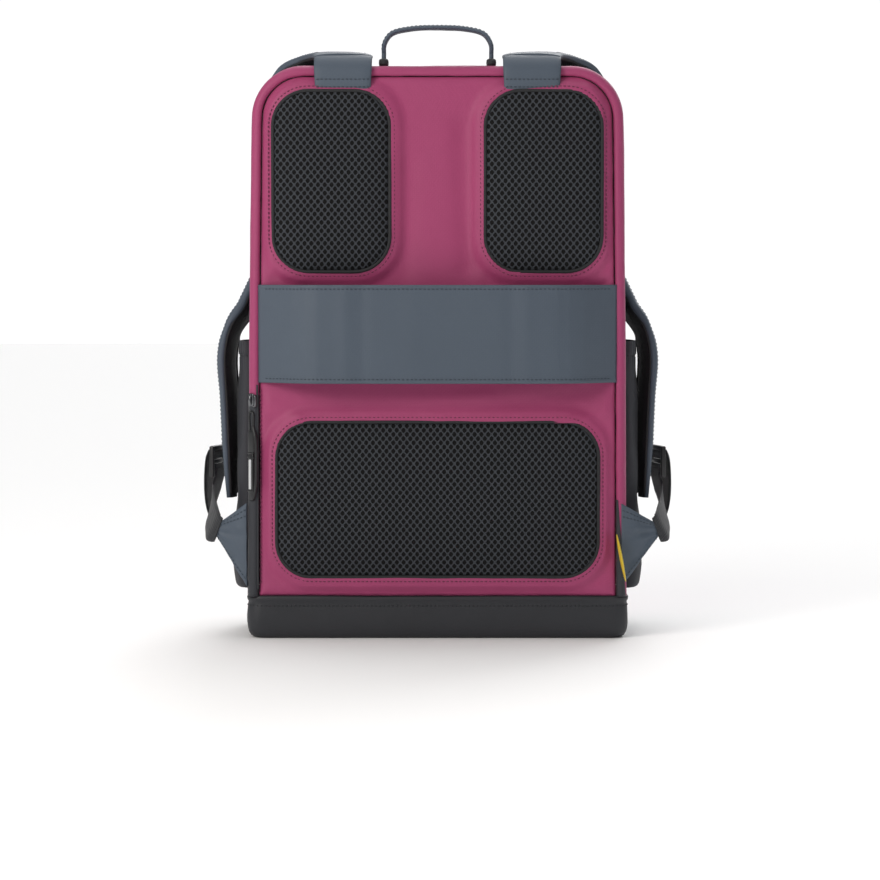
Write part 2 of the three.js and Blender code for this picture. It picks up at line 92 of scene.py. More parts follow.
# %% Floor, lamps and background
def linear(code):
    """An sRGB hex colour as linear red, green, blue and alpha."""
    channels = [int(code[i:i + 2], 16) / 255 for i in (1, 3, 5)]
    return [c / 12.92 if c <= 0.04045 else ((c + 0.055) / 1.055) ** 2.4 for c in channels] + [1]


def add(tree, kind, inputs=None, **settings):
    """A shader node with its settings, and its sockets set or linked."""
    made = tree.nodes.new("ShaderNode" + kind)
    for key, value in settings.items():
        setattr(made, key, value)
    for socket, value in (inputs or {}).items():
        if isinstance(value, bpy.types.NodeSocket):
            tree.links.new(value, made.inputs[socket])
        else:
            made.inputs[socket].default_value = value
    return made


def sun(name, place, strength, spread, tint="#ffffff"):
    """A far soft lamp that shines from `place` towards the bag; spread is its width in degrees."""
    data = bpy.data.lights.new(name, "SUN")
    data.energy = strength
    data.angle = math.radians(spread)
    data.color = linear(tint)[:3]
    lamp = bpy.data.objects.new(name, data)
    bpy.context.scene.collection.objects.link(lamp)
    lamp.location = place
    lamp.rotation_euler = (-lamp.location).to_track_quat("-Z", "Y").to_euler()


def softbox(name, place, aim, watts, side, tint="#ffffff"):
    """A square lamp close to the bag, so that its light falls off across it."""
    data = bpy.data.lights.new(name, "AREA")
    data.energy, data.size, data.color = watts, side, linear(tint)[:3]
    lamp = bpy.data.objects.new(name, data)
    bpy.context.scene.collection.objects.link(lamp)
    lamp.location = place
    lamp.rotation_euler = (Vector(aim) - lamp.location).to_track_quat("-Z", "Y").to_euler()
    lamp.visible_camera = False


scene = bpy.context.scene
scene.view_settings.view_transform = "Standard"
world = bpy.data.worlds.new("studio")
world.use_nodes = True
sky = world.node_tree.nodes["Background"]
sky.inputs["Color"].default_value = linear("#fdfdfe")
seen = add(world.node_tree, "LightPath").outputs["Is Camera Ray"]
SKY_LIGHT, SKY_SEEN = 0.28, 1.05  # how strongly the sky lights the bag, and how bright it looks itself
strength = add(world.node_tree, "MapRange", {"Value": seen, "To Min": SKY_LIGHT, "To Max": SKY_SEEN})
world.node_tree.links.new(strength.outputs[0], sky.inputs["Strength"])
scene.world = world
WARM_WHITE = "#fffaf4"
softbox("key_softbox", (-0.8, -0.95, 0.75), (0, 0, 0.22), 6.5, 0.5, WARM_WHITE)
sun("front_lamp", (-1.6, -2.2, 1.7), 0.45, 40, WARM_WHITE)
sun("fill_lamp", (2.3, -1.6, 0.9), 0.12, 40)
sun("top_lamp", (0.2, 0.6, 2.4), 1.4, 60)
sun("rear_lamp", (0.8, 2.6, 1.4), 1.4, 40)

floor_data = bpy.data.meshes.new("floor")
REACH = 9  # half the floor's width
floor_data.from_pydata([(-REACH, -REACH, 0), (REACH, -REACH, 0), (REACH, REACH, 0), (-REACH, REACH, 0)], [],
                       [(0, 1, 2, 3)])
floor = bpy.data.objects.new("floor", floor_data)
scene.collection.objects.link(floor)
floor_paint = bpy.data.materials.new("matt_floor_paint")
floor_paint.use_nodes = True
floor_shader = floor_paint.node_tree.nodes["Principled BSDF"]
floor_shader.inputs["Base Color"].default_value = linear("#f8f8f8")
floor_shader.inputs["Roughness"].default_value = 0.8
floor_data.materials.append(floor_paint)
print("floor and", len(bpy.data.lights), "lamps")

# %% [markdown]
# ## Making fabric
# Most of the bag is woven polyester. Up close a plain weave is a checkerboard of little humps, where
# either the warp or the weft lies on top. Two sets of bands, picked by a checker, give exactly that. The
# pattern runs over the cut of each piece, in metres, so that the threads follow the cloth round its bends.
# Real threads are about 0.4 mm apart, too fine to show from two metres, so they are drawn at 1.5 mm.

# %% Woven polyester
BAND = 0.31416  # a wave texture of scale s repeats every 0.31416 / s
DYE_PATCH, YARN_SLUB, CRINKLE = 45 * MM, 1.1 * MM, 9 * MM  # real sizes of what makes cloth look uneven
YARN_SHARE = 0.22  # how much single threads count beside the dye


def shades(tree, value, colour, dark, light):
    """A ramp from a darker to a lighter shade of one colour."""
    ramp = add(tree, "ValToRGB", {"Fac": value})
    for element, share in zip(ramp.color_ramp.elements, (dark, light)):
        element.color = [min(1, c * share) for c in linear(colour)[:3]] + [1]
    return ramp.outputs["Color"]


def new_material(name, **sockets):
    """A material whose shader has these constant sockets, its tree and its shader."""
    material = bpy.data.materials.new(name)
    material.use_nodes = True
    shader = material.node_tree.nodes["Principled BSDF"]
    for key, value in sockets.items():
        shader.inputs[key.replace("_", " ")].default_value = value
    return material, material.node_tree, shader


def woven(name, colour, thread=1.5 * MM, relief=0.12, mottle=(0.88, 1.1), crinkle=0.1, **sockets):
    """Plain-woven cloth: humps of thread, slight uneven dye and a fine crinkle."""
    material, tree, shader = new_material(name, **sockets)
    cut = add(tree, "UVMap").outputs["UV"]
    warp = add(tree, "TexWave", {"Vector": cut, "Scale": BAND / thread}, bands_direction="X")
    weft = add(tree, "TexWave", {"Vector": cut, "Scale": BAND / thread}, bands_direction="Y")
    over = add(tree, "TexChecker", {"Vector": cut, "Scale": 1 / thread})
    humps = add(tree, "Mix", {0: over.outputs["Fac"], 2: warp.outputs["Fac"], 3: weft.outputs["Fac"]})
    place = add(tree, "TexCoord").outputs["Object"]
    dye = add(tree, "TexNoise", {"Vector": place, "Scale": 1 / DYE_PATCH, "Detail": 4})
    yarn = add(tree, "TexNoise", {"Vector": place, "Scale": 1 / YARN_SLUB, "Detail": 2})
    uneven = add(tree, "Math", {0: dye.outputs["Fac"], 1: yarn.outputs["Fac"]}, operation="MULTIPLY_ADD")
    uneven.inputs[2].default_value = YARN_SHARE
    tree.links.new(shades(tree, uneven.outputs[0], colour, *mottle), shader.inputs["Base Color"])
    soft = add(tree, "TexNoise", {"Vector": place, "Scale": 1 / CRINKLE, "Detail": 3})
    fine = add(tree, "Bump", {"Height": humps.outputs[0], "Strength": relief, "Distance": 0.3 * MM})
    both = add(tree, "Bump", {"Height": soft.outputs["Fac"], "Strength": crinkle, "Distance": 2 * MM,
                              "Normal": fine.outputs["Normal"]})
    tree.links.new(both.outputs["Normal"], shader.inputs["Normal"])
    return material


# Dyed polyester with a matt finish: an even, saturated colour and a faint bloom where it turns away.
PLUM = woven("plum_polyester", "#9d3866", Roughness=0.6, Sheen_Weight=0.08, Sheen_Roughness=0.4)
# The same cloth dyed blue-grey: matt and cool beside the plum.
SLATE = woven("slate_polyester", "#47525f", Roughness=0.6, Sheen_Weight=0.08, Sheen_Roughness=0.4)
# Nearly black polyester for gussets and pockets: dull, so that its folds show only softly.
CHARCOAL = woven("charcoal_polyester", "#2b2d33", Roughness=0.7, Sheen_Weight=0.05, Sheen_Roughness=0.5)
# Thin plain nylon, paler so that things inside are easy to find; almost no relief.
LINING = woven("grey_lining", "#6a6d74", Roughness=0.75, relief=0.08, Sheen_Weight=0.1)
# Tightly woven polyester ribbon: the weave is fine and the yellow stays clean and bright.
RIBBON = woven("yellow_ribbon", "#e3c437", thread=0.9 * MM, relief=0.2, Roughness=0.5)
print("woven:", [m.name for m in (PLUM, SLATE, CHARCOAL, LINING, RIBBON)])

# %% [markdown]
# ## Spacer mesh
# The back pads are covered in spacer mesh, a knit with rows of diamond holes that lets air through. Two sets
# of diagonal threads cross; where they leave a gap, the hole is painted nearly black: the dark foam's own
# colour, with painted shade for the hole's depth. Multiplying a sine across each diagonal gives one hump per
# hole, and a threshold turns the hump into a hole with a soft edge. The holes are drawn in the material,
# because thousands of real holes would slow everything down.

# %% Knitted spacer mesh over foam
def spacer_mesh(name, thread_colour, hole_foam_and_shade_colour, wide, tall, **sockets):
    """A knit of two crossing sets of threads; wide and tall span two holes."""
    material, tree, shader = new_material(name, **sockets)
    cut = add(tree, "SeparateXYZ", {0: add(tree, "UVMap").outputs["UV"]})
    across = add(tree, "Math", {0: cut.outputs["X"], 1: math.pi / wide}, operation="MULTIPLY").outputs[0]
    down = add(tree, "Math", {0: cut.outputs["Y"], 1: math.pi / tall}, operation="MULTIPLY").outputs[0]
    rising = add(tree, "Math", {0: across, 1: down}, operation="ADD").outputs[0]
    falling = add(tree, "Math", {0: across, 1: down}, operation="SUBTRACT").outputs[0]
    sines = [add(tree, "Math", {0: angle}, operation="SINE").outputs[0] for angle in (rising, falling)]
    gap = add(tree, "Math", {0: sines[0], 1: sines[1]}, operation="MULTIPLY").outputs[0]
    gap = add(tree, "Math", {0: gap}, operation="ABSOLUTE").outputs[0]
    hole = add(tree, "MapRange", {"Value": gap, "From Min": 0.22, "From Max": 0.55},
               interpolation_type="SMOOTHSTEP").outputs[0]
    place = add(tree, "TexCoord").outputs["Object"]
    yarn = add(tree, "TexNoise", {"Vector": place, "Scale": 1 / (1.4 * MM), "Detail": 2})
    threads = shades(tree, yarn.outputs["Fac"], thread_colour, 0.55, 1.5)
    # The holes take the dark colour: the foam showing through, with painted shade for their depth.
    colour = add(tree, "MixRGB", {"Fac": hole, "Color1": threads, "Color2": linear(hole_foam_and_shade_colour)})
    tree.links.new(colour.outputs["Color"], shader.inputs["Base Color"])
    knit = add(tree, "Math", {0: yarn.outputs["Fac"], 1: 0.25}, operation="MULTIPLY")
    height = add(tree, "Math", {0: knit.outputs[0], 1: hole}, operation="SUBTRACT")
    bump = add(tree, "Bump", {"Height": height.outputs[0], "Strength": 0.9, "Distance": 1.2 * MM})
    tree.links.new(bump.outputs["Normal"], shader.inputs["Normal"])
    return material


HOLE_WIDE, HOLE_TALL = 5.4 * MM, 6.6 * MM  # two holes' pitch, across and down
# Knitted monofilament over foam: dull dark threads round holes painted nearly black, the foam's colour
# deepened with painted shade.
SPACER = spacer_mesh("black_spacer_mesh", "#393c41", "#030304", HOLE_WIDE, HOLE_TALL,
                     Roughness=0.85, Specular_IOR_Level=0.25)
# A finer, closer knit on the side of the straps that touches the wearer: its holes, a little darker with
# painted shade, only freckle it.
STRAP_LINING = spacer_mesh("charcoal_strap_mesh", "#3c3f43", "#26282b", 3 * MM, 3.4 * MM, Roughness=0.9)
print("mesh holes every", HOLE_WIDE / MM / 2, "mm")

# %% [markdown]
# ## Coated fabric, webbing, tape, plastic and metal
# The base is polyester with a rubbery coating: the weave is nearly filled, so it shines a little. Webbing
# has ribs across it. Zip tape is a flat knit. Buckles are acetal, a smooth hard plastic, and sliders are
# cast zinc with a black nickel finish. Each gets only the relief that its making gives it.

# %% Other materials
def coated(name, colour, grain, **sockets):
    """Cloth under a rubbery coat: a pebbled skin, with patches worn duller."""
    material, tree, shader = new_material(name, **sockets)
    place = add(tree, "TexCoord").outputs["Object"]
    wear = add(tree, "TexNoise", {"Vector": place, "Scale": 1 / (38 * MM), "Detail": 5})
    pebble = add(tree, "TexVoronoi", {"Vector": place, "Scale": 1 / grain})
    tree.links.new(shades(tree, wear.outputs["Fac"], colour, 0.8, 1.25), shader.inputs["Base Color"])
    dull = add(tree, "MapRange", {"Value": wear.outputs["Fac"], "To Min": 0.42, "To Max": 0.62})
    tree.links.new(dull.outputs[0], shader.inputs["Roughness"])
    bump = add(tree, "Bump", {"Height": pebble.outputs["Distance"], "Strength": 0.15, "Distance": 0.5 * MM})
    tree.links.new(bump.outputs["Normal"], shader.inputs["Normal"])
    return material


def ribbed(name, colour, rib, relief, **sockets):
    """Webbing or tape: ribs that run across the piece, in a slight zigzag, with painted shade between them
    and painted highlight on them.
    """
    material, tree, shader = new_material(name, **sockets)
    cut = add(tree, "UVMap").outputs["UV"]
    ribs = add(tree, "TexWave", {"Vector": cut, "Scale": BAND / rib, "Distortion": 0.6, "Detail": 1},
               bands_direction="Y")
    cords = add(tree, "TexWave", {"Vector": cut, "Scale": BAND / (1.6 * rib)}, bands_direction="X")
    height = add(tree, "Math", {0: ribs.outputs["Fac"], 1: cords.outputs["Fac"]}, operation="ADD")
    # The colour follows the relief: painted shade in the grooves and painted highlight on the ribs.
    tree.links.new(shades(tree, height.outputs[0], colour, 0.75, 1.2), shader.inputs["Base Color"])
    bump = add(tree, "Bump", {"Height": height.outputs[0], "Strength": relief, "Distance": 0.5 * MM})
    tree.links.new(bump.outputs["Normal"], shader.inputs["Normal"])
    return material


def moulded(name, colour, grain=0.4 * MM, relief=0.05, **sockets):
    """Something smooth and solid, with only a fine grain."""
    material, tree, shader = new_material(name, **sockets)
    place = add(tree, "TexCoord").outputs["Object"]
    mist = add(tree, "TexNoise", {"Vector": place, "Scale": 1 / grain, "Detail": 2})
    tree.links.new(shades(tree, mist.outputs["Fac"], colour, 0.9, 1.1), shader.inputs["Base Color"])
    bump = add(tree, "Bump", {"Height": mist.outputs["Fac"], "Strength": relief, "Distance": 0.2 * MM})
    tree.links.new(bump.outputs["Normal"], shader.inputs["Normal"])
    return material


# Polyester with polyurethane rolled on: a soft, patchy shine over a pebbled skin.
COATED = coated("coated_base_fabric", "#222429", 1.3 * MM, IOR=1.5)
# Woven polyester webbing: its ribs show as fine lines, with painted highlight on them and painted shade
# between. Real ribs are 1 mm apart.
WEBBING = ribbed("black_webbing", "#222428", 1.5 * MM, 0.5, Roughness=0.7, Sheen_Weight=0.15)
# Knitted zip tape: flat and dull, with very fine ribs, painted lighter on top and darker between as light and
# shade.
TAPE = ribbed("zip_tape", "#2b2d31", 0.9 * MM, 0.3, Roughness=0.8)
# Folded knit over a cord: a dull dark line round an edge.
BINDING = moulded("black_binding", "#1d1e21", 0.9 * MM, 0.3, Roughness=0.75)
# Drawn nylon thread, wound hot: glossier than its tape, so that the teeth glint.
COIL = moulded("nylon_coil", "#1f2023", Roughness=0.4, IOR=1.53)
# Injection-moulded acetal: hard and waxy, with small soft highlights.
ACETAL = moulded("black_acetal", "#191a1c", Roughness=0.35, IOR=1.48)
# Cast zinc under black nickel plate: a dark mirror, softened by the casting.
NICKEL = moulded("black_nickel", "#6a6b6e", 1.5 * MM, 0.02, Roughness=0.28, Metallic=1.0)
# Piping with glass beads: pale grey and slightly grainy, bright from every side.
REFLECTIVE = moulded("silver_piping", "#c3c5c7", 0.5 * MM, 0.1, Roughness=0.4, IOR=1.5)
# Extruded polyethylene sheet: dull and faintly grained, as a hidden stiffener is.
BOARD = moulded("black_polyethylene", "#212225", 1.2 * MM, 0.1, Roughness=0.5, IOR=1.54)
# Bonded polyester thread, a shade darker than its cloth, so that a seam reads as a fine dotted line.
PLUM_THREAD = moulded("plum_thread", "#6d2a49", 0.5 * MM, 0.3, Roughness=0.7)
DARK_THREAD = moulded("dark_thread", "#26282c", 0.5 * MM, 0.3, Roughness=0.7)
SLATE_THREAD = moulded("slate_thread", "#36404b", 0.5 * MM, 0.3, Roughness=0.7)
print(len(bpy.data.materials), "materials")

# %% [markdown]
# ## From a cut of cloth to a mesh
# A sewn piece starts as a flat cut, so each one here is a grid of points: rows and columns of cloth laid
# over the shape. The grid gives the mesh, and the lengths along its rows and columns give the UV map, which
# keeps the weave its real size. A piece of cloth also has a thickness, so the grid is closed round its
# edges into a thin solid body.

# %% Grids, bodies and pieces
def lay(points, loop_rows=False, loop_columns=False):
    """Faces of a grid of points (rows, columns, xyz) in mm, and their UV in metres along the cloth."""
    rows, columns = points.shape[:2]
    full = np.concatenate([points, points[:1]]) if loop_rows else points
    full = np.concatenate([full, full[:, :1]], axis=1) if loop_columns else full
    u, v = np.zeros(full.shape[:2]), np.zeros(full.shape[:2])
    u[:, 1:] = np.cumsum(np.linalg.norm(np.diff(full, axis=1), axis=2), axis=1)
    v[1:] = np.cumsum(np.linalg.norm(np.diff(full, axis=0), axis=2), axis=0)
    u -= u[:, full.shape[1] // 2][:, None]
    v -= v[full.shape[0] // 2][None]
    i, j = np.meshgrid(np.arange(full.shape[0] - 1), np.arange(full.shape[1] - 1), indexing="ij")
    corners = [(i, j), (i, j + 1), (i + 1, j + 1), (i + 1, j)]
    faces = np.stack([(a % rows) * columns + b % columns for a, b in corners], axis=-1).reshape(-1, 4)
    uv = np.stack([np.stack([u[a, b], v[a, b]], axis=-1) for a, b in corners], axis=2).reshape(-1, 4, 2)
    return faces, uv * MM


def volume(points, faces):
    """Six times the volume that four-sided faces enclose; negative if they face in."""
    corners = points[faces]
    first, second, third, fourth = (corners[:, k] for k in range(4))
    return np.sum(first * np.cross(second, third)) + np.sum(first * np.cross(third, fourth))


def body(points, faces, uv, paint):
    """A closed body of four-sided faces, facing out; paint is the material number of each face."""
    if volume(points, faces) < 0:
        faces, uv = faces[:, ::-1], uv[:, ::-1]
    return points, faces, uv, np.broadcast_to(paint, len(faces))


def normals(points, core=(0, -5, None), loop=False):
    """Unit normals of a grid, away from a core; a None in it means at the point's own height."""
    if loop:
        across = np.roll(points, -1, axis=1) - np.roll(points, 1, axis=1)
    else:
        across = np.gradient(points, axis=1)
    out = np.cross(across, np.gradient(points, axis=0))
    out /= np.maximum(np.linalg.norm(out, axis=2), 1e-9)[..., None]
    centre = np.stack([points[..., k] if c is None else np.full(points.shape[:2], float(c))
                       for k, c in enumerate(core)], axis=-1)
    return out if np.sum(out * (points - centre)) > 0 else -out


def cloth(points, thick, core=(0, -5, None), loop=False, inside=0):
    """A sheet of cloth: the grid is its outside, and its inside lies `thick` nearer to the core."""
    inner = points - normals(points, core, loop) * thick
    rows, columns = points.shape[:2]
    if loop:
        both = np.concatenate([points, inner[::-1]])
        faces, uv = lay(both, True, True)
        paint = np.repeat([0] * (rows - 1) + [0] + [inside] * (rows - 1) + [0], columns)
        return body(both.reshape(-1, 3), faces, uv, paint)
    both = np.concatenate([points, inner[:, ::-1]], axis=1)
    faces, uv = lay(both, False, True)
    paint = np.tile([0] * columns + [inside] * (columns - 1) + [0], rows - 1)
    wide = 2 * columns
    j = np.arange(columns - 1)
    for start in (0, (rows - 1) * wide):
        rim = np.stack([start + j, start + j + 1, start + wide - 2 - j, start + wide - 1 - j], axis=1)
        rim = rim if start else rim[:, ::-1]
        edge = np.stack([uv[j, 0], uv[j, 1], uv[j, 1], uv[j, 0]], axis=1)
        faces, uv = np.concatenate([faces, rim]), np.concatenate([uv, edge])
        paint = np.concatenate([paint, np.zeros(len(rim), int)])
    return body(both.reshape(-1, 3), faces, uv, paint)


def piece(name, bodies, materials, rides="pack", instead=()):
    """One object from closed bodies, smooth, riding on a CAD body in place of the nodes it stands for."""
    bodies = bodies if isinstance(bodies, list) else [bodies]
    shift = np.cumsum([0] + [len(b[0]) for b in bodies])
    mesh = bpy.data.meshes.new(name)
    faces = np.concatenate([b[1] + s for b, s in zip(bodies, shift)])
    mesh.from_pydata((np.concatenate([b[0] for b in bodies]) * MM).tolist(), [], faces.tolist())
    for material in materials:
        mesh.materials.append(material)
    mesh.polygons.foreach_set("material_index", np.concatenate([b[3] for b in bodies]).astype(np.int32))
    mesh.uv_layers.new(name="cut").data.foreach_set("uv", np.concatenate([b[2] for b in bodies]).ravel())
    mesh.shade_smooth()
    made = bpy.data.objects.new(name, mesh)
    scene.collection.objects.link(made)
    if rides:
        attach(made, rides)
    if instead:
        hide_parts(*instead)
    return made


# %% [markdown]
# ## Wrinkles
# Sewn cloth is never flat: it has slow waves where it hangs between seams, and sharp creases where it is
# pulled. Waves come from noise with one seed each, so they are the same on every run. A crease is a groove
# or a ridge along a line.

# %% Noise and creases
def wave(points, size, seed):
    """Smooth noise from -1 to 1, with humps about size mm apart; size may differ by axis."""
    table = np.random.default_rng(seed).uniform(-1, 1, (32, 32, 32))
    scaled = np.asarray(points) / size + 64
    cell = np.floor(scaled).astype(int)
    part = scaled - cell
    part = part * part * (3 - 2 * part)
    total = 0
    for corner in np.ndindex(2, 2, 2):
        weight = np.prod(np.where(corner, part, 1 - part), axis=-1)
        total = total + weight * table[tuple(np.moveaxis((cell + corner) % 32, -1, 0))]
    return total


def folds(points, size, seed):
    """Waves with smaller waves on them, as in cloth that has been used."""
    return wave(points, size, seed) + 0.5 * wave(points, np.asarray(size) / 2, seed + 1)


def crease(x, z, start, end, height, width):
    """A ridge, or a groove where height is negative, between two points of a panel."""
    start, end = np.array(start, float), np.array(end, float)
    span = end - start
    share = np.clip(((x - start[0]) * span[0] + (z - start[1]) * span[1]) / (span @ span), 0, 1)
    away = np.hypot(x - start[0] - share * span[0], z - start[1] - share * span[1])
    return height * np.exp(-(away / width) ** 2)


def smooth(value, low, high):
    """0 below low, 1 above high, and an S-curve between."""
    share = np.clip((value - low) / (high - low), 0, 1)
    return share * share * (3 - 2 * share)


# %% [markdown]
# ## Thread, cord and tape
# A seam shows as a row of short stitches, each pulled into the cloth at its ends. Each stitch is a little
# arched spindle, and one mesh holds a whole row. Piping, wire and zip coils are tubes along a path.

# %% Tubes and stitches
def resample(path, spacing=None, count=None, closed=False):
    """Points evenly spaced along a path."""
    path = np.asarray(path, float)
    path = np.concatenate([path, path[:1]]) if closed else path
    length = np.concatenate([[0], np.cumsum(np.linalg.norm(np.diff(path[:, :3], axis=0), axis=1))])
    count = count or max(2, int(round(length[-1] / spacing)) + (0 if closed else 1))
    at = np.linspace(0, length[-1], count, endpoint=not closed)
    return np.stack([np.interp(at, length, path[:, k]) for k in range(path.shape[1])], axis=1)


def headings(path, closed=False):
    """The direction of a path at each of its points."""
    ahead = np.roll(path, -1, axis=0) - np.roll(path, 1, axis=0)
    if not closed:
        ahead[0], ahead[-1] = path[1] - path[0], path[-1] - path[-2]
    return ahead / np.maximum(np.linalg.norm(ahead, axis=1), 1e-9)[:, None]


def tube(path, radius, sides=8, closed=False, up=(0, 0, 1), flat=1.0, paint=0):
    """A round or flattened cord along a path, closed at its ends; radius may vary from point to point."""
    path = np.asarray(path, float)
    ahead = headings(path, closed)
    side = np.cross(ahead, np.broadcast_to(np.asarray(up, float), path.shape))
    side /= np.maximum(np.linalg.norm(side, axis=1), 1e-6)[:, None]
    lift = np.cross(side, ahead)
    radius = np.broadcast_to(radius, len(path)).copy()
    if not closed:
        path = np.concatenate([path[:1], path, path[-1:]])
        side, lift = (np.concatenate([a[:1], a, a[-1:]]) for a in (side, lift))
        radius = np.concatenate([[1e-3], radius, [1e-3]])
    angle = np.arange(sides) * 2 * math.pi / sides
    ring = np.cos(angle)[None, :, None] * side[:, None] + flat * np.sin(angle)[None, :, None] * lift[:, None]
    points = path[:, None] + ring * radius[:, None, None]
    faces, uv = lay(points, closed, True)
    return body(points.reshape(-1, 3), faces, uv, paint)


def stitches(path, outward, pitch=3.4, long=2.3, thick=0.5, closed=False):
    """A row of stitches along a path that lies on the cloth; outward is away from it."""
    outward = np.broadcast_to(np.asarray(outward, float), np.shape(path))
    spots = resample(np.column_stack([path, outward]), spacing=pitch, closed=closed)
    spots, outward = spots[:, :3], spots[:, 3:]
    ahead = headings(spots, closed)
    side = np.cross(ahead, outward)
    side /= np.maximum(np.linalg.norm(side, axis=1), 1e-6)[:, None]
    shape = [(-0.5, -0.3, 0.3), (-0.3, 0.1, 0.9), (0, 0.25, 1), (0.3, 0.1, 0.9), (0.5, -0.3, 0.3)]
    angle = np.arange(6) * math.pi / 3
    rings = []
    for share, rise, girth in shape:
        middle = spots + ahead * share * long + outward * rise * thick * 1.6
        around = (np.cos(angle)[None, :, None] * side[:, None]
                  + np.sin(angle)[None, :, None] * outward[:, None]) * girth * thick
        rings.append(middle[:, None] + around)
    made = np.stack(rings, axis=1)
    return [body(one.reshape(-1, 3), *lay(one, False, True), 0) for one in capped(made)]


def capped(rings):
    """Close each stack of rings with a point-like ring at both ends."""
    ends = [np.repeat(rings[:, k].mean(axis=1, keepdims=True), rings.shape[2], axis=1) for k in (0, -1)]
    return np.concatenate([ends[0][:, None], rings, ends[1][:, None]], axis=1)


# %% [markdown]
# ## The shape of the shell
# Seen from behind, the bag is a tall arch: straight flanks that lean in a little, and rounded upper
# corners. It is wider behind than in front, and its top falls a little towards the front. These few numbers
# repeat the ones that the CAD model was built from, so that the cloth lies where the solid was.

# %% Profiles of the shell
HEIGHT, TOP_FALL, CORNER = 458, 8, 42
BACK_Y, SEAM_Y, MOUTH_Y, COVER_Y, POCKET_Y = -75, -35, 46, 56, 80
BASE_TOP = 34
REAR_WIDTH = [[0, 60, 240, 410, 458], [153, 152, 151, 148.5, 147]]
FRONT_WIDTH = [[0, 200, 310, 458], [147, 147, 129, 127]]


def half_width(z, y):
    """Half the shell's width at a height and a depth."""
    share = np.clip((np.asarray(y, float) - SEAM_Y) / (COVER_Y - SEAM_Y), 0, 1)
    return (1 - share) * np.interp(z, *REAR_WIDTH) + share * np.interp(z, *FRONT_WIDTH)


def arch(y, inset, low, count):
    """The outline of the shell at depth y, up the right flank, over the top and down the left, evenly."""
    top = HEIGHT - TOP_FALL * min(max((y - SEAM_Y) / (COVER_Y - SEAM_Y), 0), 1) - inset
    radius = CORNER - inset
    shoulder = top - radius
    up = np.linspace(low, shoulder, 60)
    turn = np.linspace(0, math.pi / 2, 16)[1:]
    centre = half_width(shoulder, y) - inset - radius
    right = [[half_width(z, y) - inset, z] for z in up]
    right += [[centre + radius * math.cos(a), shoulder + radius * math.sin(a)] for a in turn]
    left = [[-x, z] for x, z in reversed(right)]
    path = resample(np.array(right + left), count=count)
    return np.column_stack([path[:, 0], np.full(count, float(y)), path[:, 1]])


def rounded(x0, x1, z0, z1, radius, steps=12):
    """A rounded rectangle as points round its edge."""
    corners = [(x1 - radius, z1 - radius, 0), (x0 + radius, z1 - radius, 90),
               (x0 + radius, z0 + radius, 180), (x1 - radius, z0 + radius, 270)]
    turn = np.radians(np.linspace(0, 90, steps))
    return np.concatenate([np.column_stack([cx + radius * np.cos(turn + math.radians(a)),
                                            cz + radius * np.sin(turn + math.radians(a))])
                           for cx, cz, a in corners])


def outside(x, z, box, radius):
    """How far a point of a panel is outside a rounded rectangle; negative inside it."""
    x0, x1, z0, z1 = box
    dx = np.abs(x - (x0 + x1) / 2) - (x1 - x0) / 2 + radius
    dz = np.abs(z - (z0 + z1) / 2) - (z1 - z0) / 2 + radius
    return np.hypot(np.maximum(dx, 0), np.maximum(dz, 0)) + np.minimum(np.maximum(dx, dz), 0) - radius


print("shell", 2 * float(half_width(60, BACK_Y)), "mm wide behind,", HEIGHT, "mm tall")

# %% [markdown]
# ## The base
# The bottom of the bag is a shallow tub of coated fabric, so that it can stand on wet ground. A stiff board
# inside keeps its floor flat, which makes its corners crisp. A roll of seam allowance lifts its top edge,
# and a row of stitches runs below it.

# %% Base tub and its board
REAR_BASE_R, FRONT_BASE_R = 12, 20  # corner radii of the base's plan, behind and in front


def plan(inset, count=360):
    """Plan of the base: wider behind than in front, evenly round from the middle of the front."""
    rear, front = REAR_WIDTH[1][0] - inset, FRONT_WIDTH[1][0] - inset
    turn = np.radians(np.linspace(0, 90, 12))
    corners = [(-front + FRONT_BASE_R, COVER_Y - inset - FRONT_BASE_R, FRONT_BASE_R, 90),
               (-rear + REAR_BASE_R, BACK_Y + inset + REAR_BASE_R, REAR_BASE_R, 180),
               (rear - REAR_BASE_R, BACK_Y + inset + REAR_BASE_R, REAR_BASE_R, 270),
               (front - FRONT_BASE_R, COVER_Y - inset - FRONT_BASE_R, FRONT_BASE_R, 0)]
    path = [[0, COVER_Y - inset]]
    for cx, cy, radius, start in corners:
        path += [[cx + radius * math.cos(a), cy + radius * math.sin(a)] for a in turn + math.radians(start)]
    return resample(np.array(path), count=count, closed=True)


def level(inset, z):
    """The plan of the base at one height."""
    flat = plan(inset)
    return np.column_stack([flat, np.full(len(flat), float(z))])


# How far in from the widest line, and how high, from the floor's inside over the rim and down to the ground.
tub_rows = [(60, 3), (16, 3), (8, 3.4), (4, 6), (3, 12), (3, 26), (2.8, 33.6), (1.6, 34.6), (0.2, 34.4),
            (-0.5, 33), (-0.3, 31), (0.5, 29.4), (0.2, 27), (-0.2, 23), (-0.6, 18), (-0.6, 13), (-0.2, 8.5),
            (0.6, 4.8), (2.2, 1.8), (4.6, 0.3), (7, 0), (16, 0), (60, 0)]
tub = np.stack([level(inset, z) for inset, z in tub_rows])
sag = folds(tub, (55, 55, 18), 11) * smooth(tub[..., 2], 3, 12)
pinch = wave(tub, (9, 9, 30), 12) * np.exp(-((tub[..., 2] - 29) / 3.5) ** 2)
side_out = normals(tub, (0, -5, 17), loop=True)
tub_out = np.where(np.arange(len(tub_rows))[:, None, None] > 6, side_out, 0)
tub = tub + tub_out * (0.55 * sag + 0.35 * pinch)[..., None]
tub_faces, tub_uv = lay(tub, False, True)
cap = np.arange(tub.shape[1] // 2 - 1)
